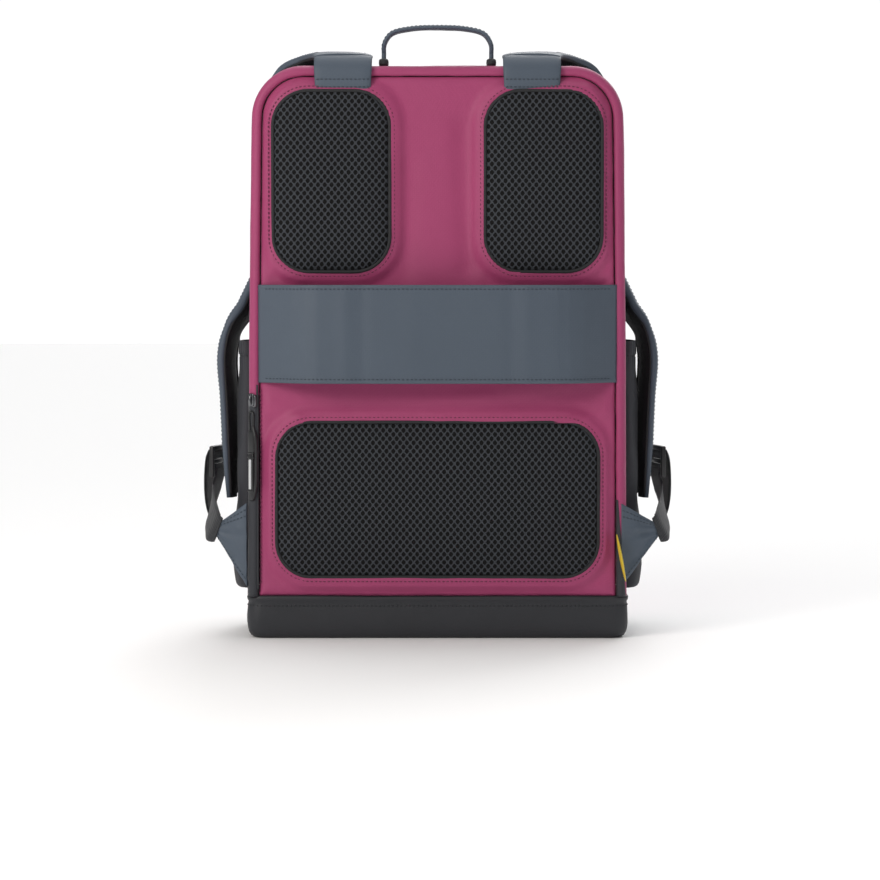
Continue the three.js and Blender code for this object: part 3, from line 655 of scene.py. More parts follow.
caps = [np.stack([s + cap, s + cap + 1, s + tub.shape[1] - 2 - cap, s + tub.shape[1] - 1 - cap], axis=1)
        for s in (0, tub.shape[1] * (len(tub_rows) - 1))]
tub_faces = np.concatenate([tub_faces, caps[0][:, ::-1], caps[1]])
flat_points = tub.reshape(-1, 3)
tub_uv = np.concatenate([tub_uv] + [flat_points[c][..., :2] * MM for c in (caps[0][:, ::-1], caps[1])])
base = piece("base_tub_fabric", body(flat_points, tub_faces, tub_uv, 0), [COATED], instead=["base_tub"])
base_row = [row for row in range(len(tub_rows)) if tub_rows[row] == (0.2, 27)][0]
piece("base_stitching", stitches(tub[base_row] + [0, 0, -0.5], side_out[base_row], closed=True),
      [DARK_THREAD])
for plate in ("base_board", "frame_sheet"):
    for held in bpy.data.objects[plate].material_slots:
        held.material = BOARD
print("base", len(base.data.polygons), "faces")

# %% [markdown]
# ## The padded back panel
# The panel that lies against the wearer is foam between two fabrics. Round each mesh pad the plum fabric
# swells up and dives into the seam. The panel is one sheet whose height follows the distance to each pad's
# edge: flat far away, a soft slope near it, a dent where the stitches pull it down. Creases are added where
# cloth is pulled between the pads and the luggage sleeve.

# %% Back panel
PADS = {"back_pad_upper_right": ((37.5, 131, 294, 438), 28),
        "back_pad_upper_left": ((-131, -37.5, 294, 438), 28),
        "back_pad_lower": ((-129, 129, 50, 175), 28)}
STITCH_OUT = 3.2  # how far the stitches lie outside a pad's edge
PANEL_SEAM = 9.2  # how far the panel's seam is in from the shell's outline
SWELL = 5.5  # how far the fabric round the pads stands out


def arch_rows(low, inset, step):
    """Heights and half widths of the rows of a panel that fills the arch."""
    shoulder, radius = HEIGHT - CORNER, CORNER - inset
    up = np.arange(low, shoulder, step)
    turn = np.linspace(0, math.pi / 2 - 0.02, 16)
    heights = np.concatenate([up, shoulder + radius * np.sin(turn)])
    widths = np.concatenate([half_width(up, BACK_Y) - inset,
                             half_width(shoulder, BACK_Y) - CORNER + radius * np.cos(turn)])
    return heights, widths


def panel_height(x, z):
    """How far the back panel stands out from its flat, at x and z."""
    rise = 0
    for box, radius in PADS.values():
        away = outside(x, z, box, radius)
        slope = SWELL * (1 - smooth(away, 2.5, 13)) ** 0.8 * smooth(away, -3.5, -0.8)
        dent = -1.1 * np.exp(-((away - STITCH_OUT) / 1.3) ** 2)
        lip = 0.5 * np.exp(-((away - 0.6) / 1.2) ** 2)
        rise = np.maximum(rise, slope) + dent + lip
    points = np.stack([x, np.zeros_like(x), z], axis=-1)
    slack = 1 - 0.75 * np.exp(-np.abs(rise) / 3)
    rise = rise + 0.7 * folds(points, (60, 50, 90), 21) + 0.25 * wave(points, (16, 10, 26), 22) * slack
    rise += crease(x, z, (-134, 300), (-112, 284), 1.6, 5) + crease(x, z, (-128, 292), (-104, 281), -1.2, 4)
    rise += crease(x, z, (140, 296), (118, 285), 1.5, 4) + crease(x, z, (141, 288), (122, 279), -1.2, 3.5)
    rise += crease(x, z, (134, 182), (96, 172), 1.2, 5) + crease(x, z, (-136, 190), (-112, 178), 1.0, 5)
    rise += crease(x, z, (24, 300), (20, 410), -2.2, 9) + crease(x, z, (-26, 296), (-22, 380), -1.2, 9)
    rise += crease(x, z, (-60, 186), (40, 194), 0.8, 6) + crease(x, z, (60, 190), (120, 198), -0.8, 6)
    rise += 1.3 * np.exp(-((z - 190) / 11) ** 2) + 1.4 * np.exp(-((z - 40) / 7) ** 2)
    return rise


heights, widths = arch_rows(BASE_TOP + 0.8, PANEL_SEAM, 2.4)
columns = np.sin(np.linspace(-1, 1, 131) * math.pi / 2 * 0.92) / math.sin(math.pi / 2 * 0.92)
panel_x = widths[:, None] * (0.45 * columns + 0.55 * np.linspace(-1, 1, 131))[None]
panel_z = np.repeat(heights[:, None], 131, axis=1)
edge = np.minimum(widths[:, None] - np.abs(panel_x),
                  np.minimum(panel_z - BASE_TOP, HEIGHT - PANEL_SEAM - panel_z))
edge = np.maximum(edge, 0)
roll = 2.4 * (1 - np.sqrt(1 - (1 - np.clip(edge / 4.5, 0, 1)) ** 2))
pucker = 0.35 * wave(np.stack([panel_x, panel_z * 0, panel_z], axis=-1), (7, 7, 7), 23) * np.exp(-edge / 5)
panel_rise = panel_height(panel_x, panel_z) * smooth(edge, 0, 9)
panel_y = BACK_Y - panel_rise + roll + pucker
panel = np.stack([panel_x, panel_y, panel_z], axis=-1)
back = piece("back_panel_cover", cloth(panel, 3.2, (0, 60, None), inside=1), [PLUM, LINING],
             instead=["back_panel"])
print("panel swells", round(float(panel_rise.max()), 1), "mm")

# %% [markdown]
# ## Mesh pads
# Each pad is a block of foam under spacer mesh, crowned like a cushion because its edge is sewn down and
# its middle is free. Cloth simulation finds that crown: the pad's front is blown up from a flatter shape
# while its back and rim stay where they are.

# %% Pads, swollen by a cloth simulation
PAD_SKIN = 4.5  # the size of a voxel, and so of a face, in mm
PAD_PRESSURE, PAD_CAP = 4, 6  # how hard the foam pushes, and the most that it may move the skin in mm


def pad_shape(box, radius):
    """Rings from the pad's back, over its rim, to its middle."""
    x0, x1, z0, z1 = box
    rings = []
    steps = [(-0.3, -0.3), (-0.2, 2.5), (0.2, 4.6), (1.6, 6.4), (4.5, 7.9), (9, 9), (15, 9.8), (24, 10.3),
             (34, 10.6)]
    for inset, out in steps:
        outline = rounded(x0 + inset, x1 - inset, z0 + inset, z1 - inset, max(radius - inset * 0.8, 4), 10)
        depth = np.full(len(outline), BACK_Y - 0.3 - out)
        rings.append(np.column_stack([outline[:, 0], depth, outline[:, 1]]))
    return np.stack(rings)


def close_ends(points):
    """Close a stack of rings with faces across its first and last ring."""
    faces, uv = lay(points, False, True)
    count = points.shape[1]
    strip = np.arange(count // 2 - 1)
    flat = points.reshape(-1, 3)
    ends = [np.stack([s + strip, s + strip + 1, s + count - 2 - strip, s + count - 1 - strip], axis=1)
            for s in (0, count * (len(points) - 1))]
    ends[0] = ends[0][:, ::-1]
    extra = [np.stack([flat[e][..., 0], flat[e][..., 2]], axis=-1) * MM for e in ends]
    return body(flat, np.concatenate([faces] + ends), np.concatenate([uv] + extra), 0)


def inflate(made, voxel, pressure, cap, hold, frames=20):
    """Swell a closed piece by cloth simulation; points where hold is true stay put, others move up to cap."""
    bpy.context.view_layer.objects.active = made
    remesh = made.modifiers.new("even", "REMESH")
    remesh.mode = "VOXEL"
    remesh.voxel_size = voxel * MM
    with bpy.context.temp_override(object=made, active_object=made):
        bpy.ops.object.modifier_apply(modifier="even")
    before = np.empty(len(made.data.vertices) * 3)
    made.data.vertices.foreach_get("co", before)
    before = before.reshape(-1, 3)
    pinned = made.vertex_groups.new(name="sewn")
    pinned.add(np.flatnonzero(hold(before / MM)).tolist(), 1, "REPLACE")
    swell = made.modifiers.new("swell", "CLOTH")
    swell.settings.use_pressure = True
    swell.settings.uniform_pressure_force = pressure
    swell.settings.vertex_group_mass = "sewn"
    swell.settings.tension_stiffness = 30
    swell.settings.bending_stiffness = 4
    swell.settings.effector_weights.gravity = 0
    swell.point_cache.frame_end = frames
    for number in range(1, frames + 1):
        scene.frame_set(number)
    moved = made.evaluated_get(bpy.context.evaluated_depsgraph_get())
    after = np.empty(len(moved.data.vertices) * 3)
    moved.data.vertices.foreach_get("co", after)
    made.modifiers.remove(swell)
    scene.frame_set(1)
    step = after.reshape(-1, 3) - before
    far = np.linalg.norm(step, axis=1)
    step *= np.minimum(1, cap * MM / np.maximum(far, 1e-9))[:, None]
    made.data.vertices.foreach_set("co", (before + step).ravel())
    made.vertex_groups.clear()
    made.data.update()
    made.data.shade_smooth()
    return float(far.max() / MM)


def map_flat(made):
    """UV straight from x and z, for a piece that is nearly flat."""
    spots = np.empty(len(made.data.vertices) * 3)
    made.data.vertices.foreach_get("co", spots)
    corner = np.empty(len(made.data.loops), np.int32)
    made.data.loops.foreach_get("vertex_index", corner)
    layer = made.data.uv_layers.get("cut") or made.data.uv_layers.new(name="cut")
    layer.data.foreach_set("uv", spots.reshape(-1, 3)[corner][:, [0, 2]].ravel())


for name, (box, radius) in PADS.items():
    made = piece(name + "_mesh", close_ends(pad_shape(box, radius)), [SPACER], rides=None)
    moved = inflate(made, PAD_SKIN, PAD_PRESSURE, PAD_CAP, lambda p: p[:, 1] > BACK_Y - 4)
    print(name, "swelled by", round(moved, 1), "mm")
    soft = made.modifiers.new("fine", "SUBSURF")
    soft.levels = soft.render_levels = 1
    map_flat(made)
    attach(made, "pack")
    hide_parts(name)

pad_rows = []
for box, radius in PADS.values():
    x0, x1, z0, z1 = box
    out = STITCH_OUT
    ring = resample(rounded(x0 - out, x1 + out, z0 - out, z1 + out, radius + out), spacing=2, closed=True)
    rise = panel_height(ring[:, 0], ring[:, 1])
    path = np.column_stack([ring[:, 0], BACK_Y - rise - 0.15, ring[:, 1]])
    pad_rows += stitches(path, (0, -1, 0), closed=True)
piece("pad_stitching", pad_rows, [PLUM_THREAD])
rims = []
for (x0, x1, z0, z1), radius in PADS.values():
    ring = resample(rounded(x0 + 0.4, x1 - 0.4, z0 + 0.4, z1 - 0.4, radius), spacing=2, closed=True)
    rim = np.column_stack([ring[:, 0], np.full(len(ring), BACK_Y - SWELL + 0.4), ring[:, 1]])
    rims.append(tube(rim, 1.5, 8, closed=True, up=(0, 1, 0)))
piece("pad_rims", rims, [BINDING])
print(len(pad_rows), "stitches round the pads")

# %% [markdown]
# ## Gussets and lining
# A gusset is the long strip that joins a bag's two faces. The plum one wraps round the corner of the back
# panel: its edge dips into the seam, rolls over the corner and runs on along the flank. The charcoal one
# behind it carries the zip. Both are grids of arches, each arch a little deeper in the bag. The lining
# hides the frame sheet from anyone who opens the bag.

# %% Gussets and lining
def arch_sheet(profile, low, count):
    """A grid of arches, one for each (inset, y) of the profile."""
    return np.stack([arch(y, inset, low, count) for inset, y in profile], axis=1)


# Each profile runs from rear to front: how far in from the shell's outline, and the depth.
rear_profile = [(8.6, -70.4), (8.5, -73.2), (7.9, -74.7), (6.6, -75.5), (5, -75.7), (3.2, -75.1),
                (1.7, -73.6), (0.7, -71.4), (0.2, -68.5), (0, -64), (-0.2, -58), (-0.3, -52), (-0.2, -46),
                (0, -41), (0.4, -37.5),
                (1.4, -35.6)]
rear = arch_sheet(rear_profile, BASE_TOP + 0.6, 520)
rear_out = normals(rear)
soft_part = smooth(rear[..., 1], -72, -60) * smooth(-rear[..., 1], 36, 44)
free_part = smooth(rear[..., 2], 240, 300)
rear_slack = 0.8 * folds(rear, (30, 34, 60), 31) * soft_part * (0.35 + 0.65 * free_part)
pulled = 0.3 * wave(rear, (8, 14, 8), 32) * np.exp(-((rear[..., 1] + 74) / 4) ** 2)
rear = rear + rear_out * (rear_slack + pulled)[..., None]
rear_gusset = piece("rear_gusset_cover", cloth(rear, 2.6, inside=1), [PLUM, LINING], instead=["rear_gusset"])

GAP = 0.3  # what the CAD model leaves between neighbours
main_profile = [(1.6, -35), (0.5, -34), (0.1, -31)]
main_profile += [(-1.0 * math.sin(math.pi * s), -31 + 62 * s) for s in np.linspace(0, 1, 18)[1:-1]]
main_profile += [(0.1, 31), (0.4, 34), (1.3, 35.8)]
main = arch_sheet(main_profile, BASE_TOP + 0.6, 420)
free = smooth(main[..., 2], 244, 300)
main_wave = (1.1 * folds(main, (36, 30, 70), 41) + 0.9) * free * np.sin(
    math.pi * np.clip((main[..., 1] + 35) / 71, 0, 1))
main = main + normals(main) * main_wave[..., None]
main_gusset = piece("main_gusset_cover", cloth(main, 2.2, inside=1), [CHARCOAL, LINING],
                    instead=["main_gusset"])

rows, sides = arch_rows(BASE_TOP + 6, 7, 8)
lining_x = sides[:, None] * np.linspace(-1, 1, 41)[None] * 0.985
lining_z = np.repeat(rows[:, None], 41, axis=1)
lining_y = -58.6 + 0.8 * folds(np.stack([lining_x, 0 * lining_x, lining_z], axis=-1), (50, 50, 80), 43)
lining = piece("inner_lining", cloth(np.stack([lining_x, lining_y, lining_z], axis=-1), 0.8, (0, 60, None)),
               [LINING])
print("gussets", len(rear_gusset.data.polygons), "and", len(main_gusset.data.polygons), "faces")

# %% [markdown]
# ## Laptop sleeve
# Inside, a foam-filled sleeve holds a laptop against the frame sheet. It is a thin quilted pad: its face
# swells between the lines of stitching, and a binding closes its top edge.

# %% Laptop sleeve
sleeve_x, sleeve_z = np.meshgrid(np.linspace(-142, 142, 90), np.linspace(39, 322, 90))
quilt = np.abs(np.sin(math.pi * (sleeve_x + 142) / 94.7) * np.sin(math.pi * (sleeve_z - 39) / 94.4)) ** 0.4
rim = np.clip(outside(sleeve_x, sleeve_z, (-142, 142, 39, 322), 12) / -6, 0, 1)
sleeve_y = -36.2 + 2.6 * quilt * smooth(rim, 0, 1) + 0.4 * wave(
    np.stack([sleeve_x, 0 * sleeve_x, sleeve_z], axis=-1), (30, 9, 30), 44)
pocket = piece("laptop_sleeve_pad", cloth(np.stack([sleeve_x, sleeve_y, sleeve_z], axis=-1), 2.4,
                                          (0, -60, None)), [LINING], instead=["laptop_sleeve"])
bound = [[x, -36.6, 322.4] for x in np.linspace(-142, 142, 60)]
piece("laptop_sleeve_binding", tube(bound, 2.3, 8, up=(0, 1, 0)), [BINDING])
print("laptop sleeve of", len(pocket.data.polygons), "faces")

# %% [markdown]
# ## Luggage sleeve
# A wide band of slate fabric is sewn to both edges of the back panel, open above and below, so that the bag
# can ride on a suitcase's handle. It stands clear of the panel in the middle. Its two long edges are turned
# in twice and stitched, which makes them thicker and slightly wavy. The band is one strip of cloth, bent
# along a curve and given folds that run up and down where the handle's tubes have pushed it out.

# %% Luggage sleeve
BAND_LOW, BAND_HIGH = 206, 284  # the band's edges
BAND_END, BAND_FLAT = 143, 96  # where it is sewn down, and where its flat middle starts
HEM = 4.6
end_path = [(BAND_END, -75.8), (BAND_END - 3, -77.6), (131, -84.5), (116, -95), (104, -101.2),
            (BAND_FLAT, -103.2), (80, -103.9), (40, -104.2)]
half = resample(np.array(end_path, float), count=46)
around = np.concatenate([half, half[::-1][1:] * [-1, 1]])
across = resample(around, count=150)
hem_at = np.array([0, 0.5, 1.2, 2, 2.8, HEM - 1.2, HEM - 0.5, HEM + 0.5, HEM + 1.4])
tall = BAND_HIGH - BAND_LOW
rows_z = np.concatenate([hem_at, np.linspace(HEM + 4, tall - HEM - 4, 26), tall - hem_at[::-1]]) + BAND_LOW
band = np.zeros((len(rows_z), len(across), 3))
band[..., 0] = across[None, :, 0]
band[..., 2] = rows_z[:, None]
from_edge = np.minimum(rows_z - BAND_LOW, BAND_HIGH - rows_z)
proud = 0.55 * (1 - smooth(from_edge, HEM - 1, HEM + 0.5)) * smooth(from_edge, -0.4, 1.6)
seam_dip = -0.35 * np.exp(-((from_edge - HEM + 1.2) / 0.8) ** 2)
loose = 0.7 * folds(np.stack([band[..., 0], 0 * band[..., 0], band[..., 2]], axis=-1), (60, 50, 150), 51)
tube_marks = sum(h * np.exp(-((band[..., 0] - x) / w) ** 2) for x, h, w in
                 ((-73, 0.9, 6), (-59, -0.7, 5), (71, 0.8, 6), (58, -0.6, 5), (-20, 0.5, 9), (100, -0.8, 7)))
ripple = 0.35 * wave(band, (14, 60, 60), 52) * np.exp(-from_edge / 5)[:, None]
held_ends = smooth(BAND_END - np.abs(band[..., 0]), 0, 14)
waist = 1.6 * np.sin(math.pi * (rows_z - BAND_LOW) / tall)[:, None]
lift = (loose + tube_marks + ripple + waist - 1.6) * held_ends + (proud + seam_dip)[:, None]
band[..., 1] = across[None, :, 1] + 0.6 - lift * 0.8
sleeve_out = normals(band, (0, 60, None))
sleeve = piece("luggage_sleeve", cloth(band, 1.6, (0, 60, None)), [SLATE], instead=["trolley_sleeve"])
hem_rows = []
for height in (BAND_LOW + HEM - 1.2, BAND_HIGH - HEM + 1.2):
    row = int(np.argmin(np.abs(rows_z - height)))
    hem_rows += stitches(band[row, 4:-4] + sleeve_out[row, 4:-4] * 0.1, sleeve_out[row, 4:-4], thick=0.45)
piece("luggage_sleeve_stitching", hem_rows, [SLATE_THREAD])

# %% [markdown]
# ## Shoulder straps
# A shoulder strap is a long foam pad: slate fabric outside, mesh lining on the side that touches the
# shoulder, and a piping where they meet. Here the straps are swung round the sides of the bag. Each is one
# section swept along stations that give its middle and the way its width runs. The section is a soft oblong,
# and its two halves get their own materials.

# %% Shoulder straps
def spline(stations, at):
    """The centripetal curve through the stations, at a position counted in stations."""
    count = len(stations)
    i = min(int(at), count - 2)
    t = at - i
    line = [2 * stations[0] - stations[1], *stations, 2 * stations[-1] - stations[-2]]
    p0, p1, p2, p3 = line[i:i + 4]
    d0, d1, d2 = (max(np.linalg.norm(b - a), 1e-6) ** 0.5 for a, b in ((p0, p1), (p1, p2), (p2, p3)))
    leave = ((p1 - p0) / d0 - (p2 - p0) / (d0 + d1) + (p2 - p1) / d1) * d1
    reach = ((p2 - p1) / d1 - (p3 - p1) / (d1 + d2) + (p3 - p2) / d2) * d1
    return (p1 * (2 * t ** 3 - 3 * t ** 2 + 1) + p2 * (3 * t ** 2 - 2 * t ** 3)
            + leave * (t ** 3 - 2 * t ** 2 + t) + reach * (t ** 3 - t ** 2))


def strap_frames(stations, steps):
    """Middles, width directions, outward directions and sizes at even steps along a strap."""
    places = np.array([s[0] for s in stations], float)
    ways = np.array([s[1] for s in stations], float)
    sizes = np.array([s[2:] for s in stations], float)
    at = np.linspace(0, len(stations) - 1, steps)
    middle = np.array([spline(places, a) for a in at])
    ahead = headings(middle)
    across = np.stack([np.interp(at, np.arange(len(ways)), ways[:, k]) for k in range(3)], axis=1)
    across -= ahead * np.sum(across * ahead, axis=1)[:, None]
    across /= np.linalg.norm(across, axis=1)[:, None]
    size = np.stack([np.interp(at, np.arange(len(sizes)), sizes[:, k]) for k in range(2)], axis=1)
    return middle, across, np.cross(across, ahead), size


STRAP = [((75, -66, 465), (1, 0, 0), 46, 6), ((78, -38, 467.5), (0.96, -0.28, 0), 52, 9),
         ((92, -6, 466.5), (0.75, -0.66, 0), 56, 11), ((114, 15, 460.5), (0.45, -0.89, 0), 56, 11),
         ((132, 28, 445), (0.25, -0.97, -0.1), 56, 11), ((140, 34, 424), (0.22, -0.975, 0), 56, 11),
         ((141, 35, 390), (0.22, -0.975, 0), 56, 11), ((141, 35, 350), (0.22, -0.975, 0), 56, 11),
         ((143, 33, 316), (0.2, -0.98, 0), 56, 11), ((149, 28, 288), (0.1, -0.99, 0), 56, 11),
         ((160, 18, 264), (0.12, -0.993, 0), 56, 11), ((170, 11, 246), (0.12, -0.993, 0), 56, 11),
         ((174, 7, 226), (0.12, -0.993, 0), 56, 11), ((172.6, 5, 192), (0.12, -0.993, 0), 55, 10.5),
         ((171.2, 4, 156), (0.12, -0.993, 0), 54, 10.5), ((171, 3, 132), (0.12, -0.993, 0), 42, 9),
         ((170.5, 2, 108), (0.12, -0.993, 0), 28, 7)]
STRAP_STEPS, STRAP_SIDES = 250, 40


def mirrored(made, sign):
    """A closed body as it is, or mirrored to the left side and turned right way out."""
    points, faces, uv, paint = made
    return body(points * [sign, 1, 1], faces, uv, paint)


def oblong(angle, wide, thick, power):
    """A soft oblong section: its corners are squarer for a higher power."""
    c, s = np.cos(angle), np.sin(angle)
    return (wide / 2 * np.sign(c) * np.abs(c) ** (2 / power),
            thick / 2 * np.sign(s) * np.abs(s) ** (2 / power))


middle, wide_way, out_way, size = strap_frames(STRAP, STRAP_STEPS)
angle = (np.arange(STRAP_SIDES) + 0.5) * 2 * math.pi / STRAP_SIDES
off_a, off_b = oblong(angle[None], size[:, :1] - 1, size[:, 1:] - 0.6, 3.2)
crown = 1 - 0.16 * (off_a / (size[:, :1] / 2)) ** 2
section = (middle[:, None] + off_a[..., None] * wide_way[:, None]
           + (off_b * crown)[..., None] * out_way[:, None])
section_out = (off_a / size[:, :1] ** 2)[..., None] * wide_way[:, None] \
    + (off_b / size[:, 1:] ** 2)[..., None] * out_way[:, None]
section_out /= np.linalg.norm(section_out, axis=2)[..., None]
bends = smooth(section[..., 2], 215, 250) * (1 - smooth(section[..., 2], 300, 330))
strap_waves = 0.45 * folds(section, (26, 26, 44), 61) + 0.8 * wave(section, (40, 30, 13), 62) * bends
section = section + section_out * strap_waves[..., None]
facing = np.sign(np.mean(out_way[150:200, 0]))  # +1 where the section's upper half is the strap's outside
face_side = facing * np.sin((np.arange(STRAP_SIDES) + 1) * 2 * math.pi / STRAP_SIDES)
ends = section.mean(axis=1)[[0, -1]]
strap_points = np.concatenate([np.repeat(ends[:1], STRAP_SIDES, axis=0)[None], section,
                               np.repeat(ends[1:], STRAP_SIDES, axis=0)[None]])
faces, uv = lay(strap_points, False, True)
paint = np.tile(np.where(face_side > -0.43, 0, 1), STRAP_STEPS + 1)
turns = angle * facing % (2 * math.pi)
thread_columns = [int(np.argmin(np.abs(turns - a))) for a in (0.92, math.pi - 0.92)]
for side, sign in (("right", 1), ("left", -1)):
    pad = piece("shoulder_strap_" + side, mirrored(body(strap_points.reshape(-1, 3), faces, uv, paint), sign),
                [SLATE, STRAP_LINING], rides=None, instead=["strap_pad_" + side])
    trims = []
    for direction in (1, -1):
        corner = (wide_way * (size[:, :1] / 2 * 0.93 - 0.6) * direction
                  - out_way * facing * (size[:, 1:] / 2 * 0.52))
        trims.append(mirrored(tube((middle + corner)[3:-2], 1.2, 8, up=(0.3, 0.2, 1)), sign))
    piping = piece("strap_piping_" + side, trims, [BINDING], rides=None)
    rows_of_thread = []
    for column in thread_columns:
        rows_of_thread += [mirrored(one, sign) for one in stitches(
            section[14:-12, column], section_out[14:-12, column], thick=0.32)]
    thread = piece("strap_stitching_" + side, rows_of_thread, [SLATE_THREAD], rides=None)
    for made in (pad, piping, thread):
        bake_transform(made)
print("strap", round(float(np.linalg.norm(np.diff(middle, axis=0), axis=1).sum())), "mm long")

# %% [markdown]
# ## Webbing and ladder locks
# Polyester webbing runs from each strap's ladder lock to the tab on the side seam, and its tail hangs from
# the lock. Webbing is flat and stiff across, so it bends in one direction and twists slowly. A ladder lock
# is one moulded piece of acetal: two side rails, and bars that the webbing threads over, which fills its
# two windows with webbing.

# %% Webbing, tails and ladder locks
def strip(stations, steps, columns=9, paint=0):
    """A flat strap along stations, with slightly rounded edges."""
    middle, across, out, size = strap_frames(stations, steps)
    share = np.linspace(-1, 1, columns)
    thin = np.sqrt(np.clip(1 - np.abs(share) ** 8, 0.15, 1))
    sides = []
    for face in (1, -1):
        sides.append(middle[:, None] + across[:, None] * (share * face)[None, :, None] * size[:, :1, None] / 2
                     + out[:, None] * (face * thin)[None, :, None] * size[:, 1:, None] / 2)
    ring = np.concatenate(sides, axis=1)
    ends = [np.repeat(ring[[k]].mean(axis=1, keepdims=True), ring.shape[1], axis=1) for k in (0, -1)]
    ring = np.concatenate([ends[0], ring, ends[1]])
    faces, uv = lay(ring, False, True)
    return body(ring.reshape(-1, 3), faces, uv, paint)


def bar(start, end, wide, thick, way, soft=0.35):
    """A rounded bar from start to end; wide runs along way."""
    start, end, way = (np.asarray(v, float) for v in (start, end, way))
    length = np.linalg.norm(end - start)
    ahead = (end - start) / length
    way = way - ahead * (way @ ahead)
    way /= np.linalg.norm(way)
    out = np.cross(way, ahead)
    turn = np.arange(20) * 2 * math.pi / 20
    a, b = oblong(turn, wide, thick, 4)
    cap = soft * min(wide, thick)
    stops = [(0, 0.02), (0.08, 0.62), (0.35, 0.88), (1, 1)]
    spots = [(start + ahead * share * cap, girth) for share, girth in stops]
    spots += [(end - ahead * share * cap, girth) for share, girth in stops[::-1]]
    points = np.stack([spot + girth * (a[:, None] * way + b[:, None] * out) for spot, girth in spots])
    faces, uv = lay(points, False, True)
    return body(points.reshape(-1, 3), faces, uv, 0)


WEB = [((180.4, 4.6, 132), (0.26, -0.966, 0), 23, 1.6), ((181.2, 4.4, 125), (0.26, -0.966, 0), 24, 1.7),
       ((183.2, 4, 117.6), (0.26, -0.966, 0), 25, 1.8), ((185, 0, 110.5), (0.1, -0.95, 0.3), 25, 1.8),
       ((186, -14, 103.5), (-0.15, -0.75, 0.64), 25, 1.8), ((185.4, -34, 98), (-0.35, -0.5, 0.79), 25, 1.8),
       ((183, -50, 93.5), (-0.42, -0.3, 0.85), 25, 1.8),
       ((180.6, -59.8, 88.5), (-0.45, -0.215, 0.86), 25, 1.8),
       ((176.6, -62.6, 86.5), (-0.45, -0.2, 0.86), 21, 1.8)]
TAIL = [((185.6, 5.4, 148), (0.26, -0.966, 0), 24, 1.6), ((188, 6.5, 141), (0.26, -0.966, 0), 25, 1.6),
        ((189.6, 9, 120), (0.26, -0.966, 0), 25, 1.6), ((188.6, 14, 102), (0.26, -0.966, 0), 25, 1.6),
        ((185.4, 17.6, 88), (0.26, -0.966, 0), 25, 1.6), ((185, 18, 84), (0.26, -0.966, 0), 25, 2.6)]
LOCK_AT, LOCK_TURN, LOCK_WIDE, LOCK_TALL = np.array((182, 4.4, 138.0)), math.radians(15), 33, 26
LOCK_WAY = np.array((-math.sin(LOCK_TURN), math.cos(LOCK_TURN), 0))  # along the lock's width
LOCK_FACE = np.array((math.cos(LOCK_TURN), math.sin(LOCK_TURN), 0))  # out of its face


def lock_parts():
    """The rails and bars of a ladder lock."""
    rail, reach = 3.2, LOCK_TALL / 2
    parts = []
    for end_sign in (-1, 1):
        edge_at = LOCK_AT + LOCK_WAY * end_sign * (LOCK_WIDE - rail) / 2
        parts.append(bar(edge_at - [0, 0, reach], edge_at + [0, 0, reach], rail, 4, LOCK_WAY))
    for height, deep, tall in ((reach - 1.9, 3.6, 4), (0, 3, 3.6), (2 - reach, 3.4, 3.8)):
        middle_at = LOCK_AT + [0, 0, height]
        span = LOCK_WAY * (LOCK_WIDE / 2 - 1)
        parts.append(bar(middle_at - span, middle_at + span, tall, deep, (0, 0, 1)))
    return parts


def turns_of_webbing():
    """Webbing laid in the lock's two windows, where it turns over the bars."""
    span = LOCK_WAY * 12
    turns = []
    for height, tall, lean in ((5.6, 7.4, 0.7), (-5.6, 7.4, -0.7)):
        at = LOCK_AT + [0, 0, height] + LOCK_FACE * lean
        turns.append(bar(at - span, at + span, tall, 2.6, (0, 0, 1)))
    return turns


for side, sign in (("right", 1), ("left", -1)):
    web = piece("strap_webbing_cloth_" + side, mirrored(strip(WEB, 90), sign), [WEBBING], rides=None,
                instead=["strap_webbing_" + side])
    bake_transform(web)
    lock = piece("ladder_lock_frame_" + side, [mirrored(p, sign) for p in lock_parts()], [ACETAL],
                 rides="lock_" + side, instead=["ladder_lock_" + side])
    tail = piece("strap_tail_cloth_" + side, mirrored(strip(TAIL, 60), sign), [WEBBING],
                 rides="lock_" + side, instead=["strap_tail_" + side])
    piece("lock_webbing_cloth_" + side, [mirrored(p, sign) for p in turns_of_webbing()], [WEBBING],
          rides="lock_" + side)
print("ladder locks", LOCK_WIDE, "by", LOCK_TALL, "mm")

# %% [markdown]
# ## Side tabs, corner strips and the ribbon loop
# The webbing ends in a triangle of slate fabric, folded double and sewn into the rear seam. Being pulled from
# its point, it wrinkles from there to the seam. A narrow charcoal strip lies on both rear corners, from the
# panel's seam outwards, and a loop of yellow ribbon is caught in the right-hand seam.

# %% Tabs, strips and ribbon
def tab_sheet(seam, apex):
    """A double triangle from a seam to its point, wrinkled along its pull."""
    u = (1 - np.linspace(1, 0, 46) ** 1.2)[:, None, None]
    v = np.linspace(0, 1, 40)[None, :, None]
    near = np.array([[seam[0], seam[1], 42.0]]) + v * np.array([0, 0, 67.0])
    far = np.array([[apex[0], apex[1], 81.0]]) + v * np.array([0, 0, 10.0])
    points = near * (1 - u) + far * u
    out = normals(points, (0, 20, None))
    spread = u[..., 0] * (1 - u[..., 0]) * 4
    rays = np.sin(v[..., 0] * 21 + 2.2 * wave(points, (16, 16, 16), 71)) * (0.25 + 0.75 * u[..., 0])
    border = np.clip(np.minimum(v[..., 0], 1 - v[..., 0]) * 9, 0, 1)
    bulge = 1.7 * folds(points, (17, 17, 13), 72) * spread + 0.8 * rays * (1 - u[..., 0] ** 4) * border
    puff = 0.9 * border * spread
    return points + out * (bulge + puff)[..., None], out


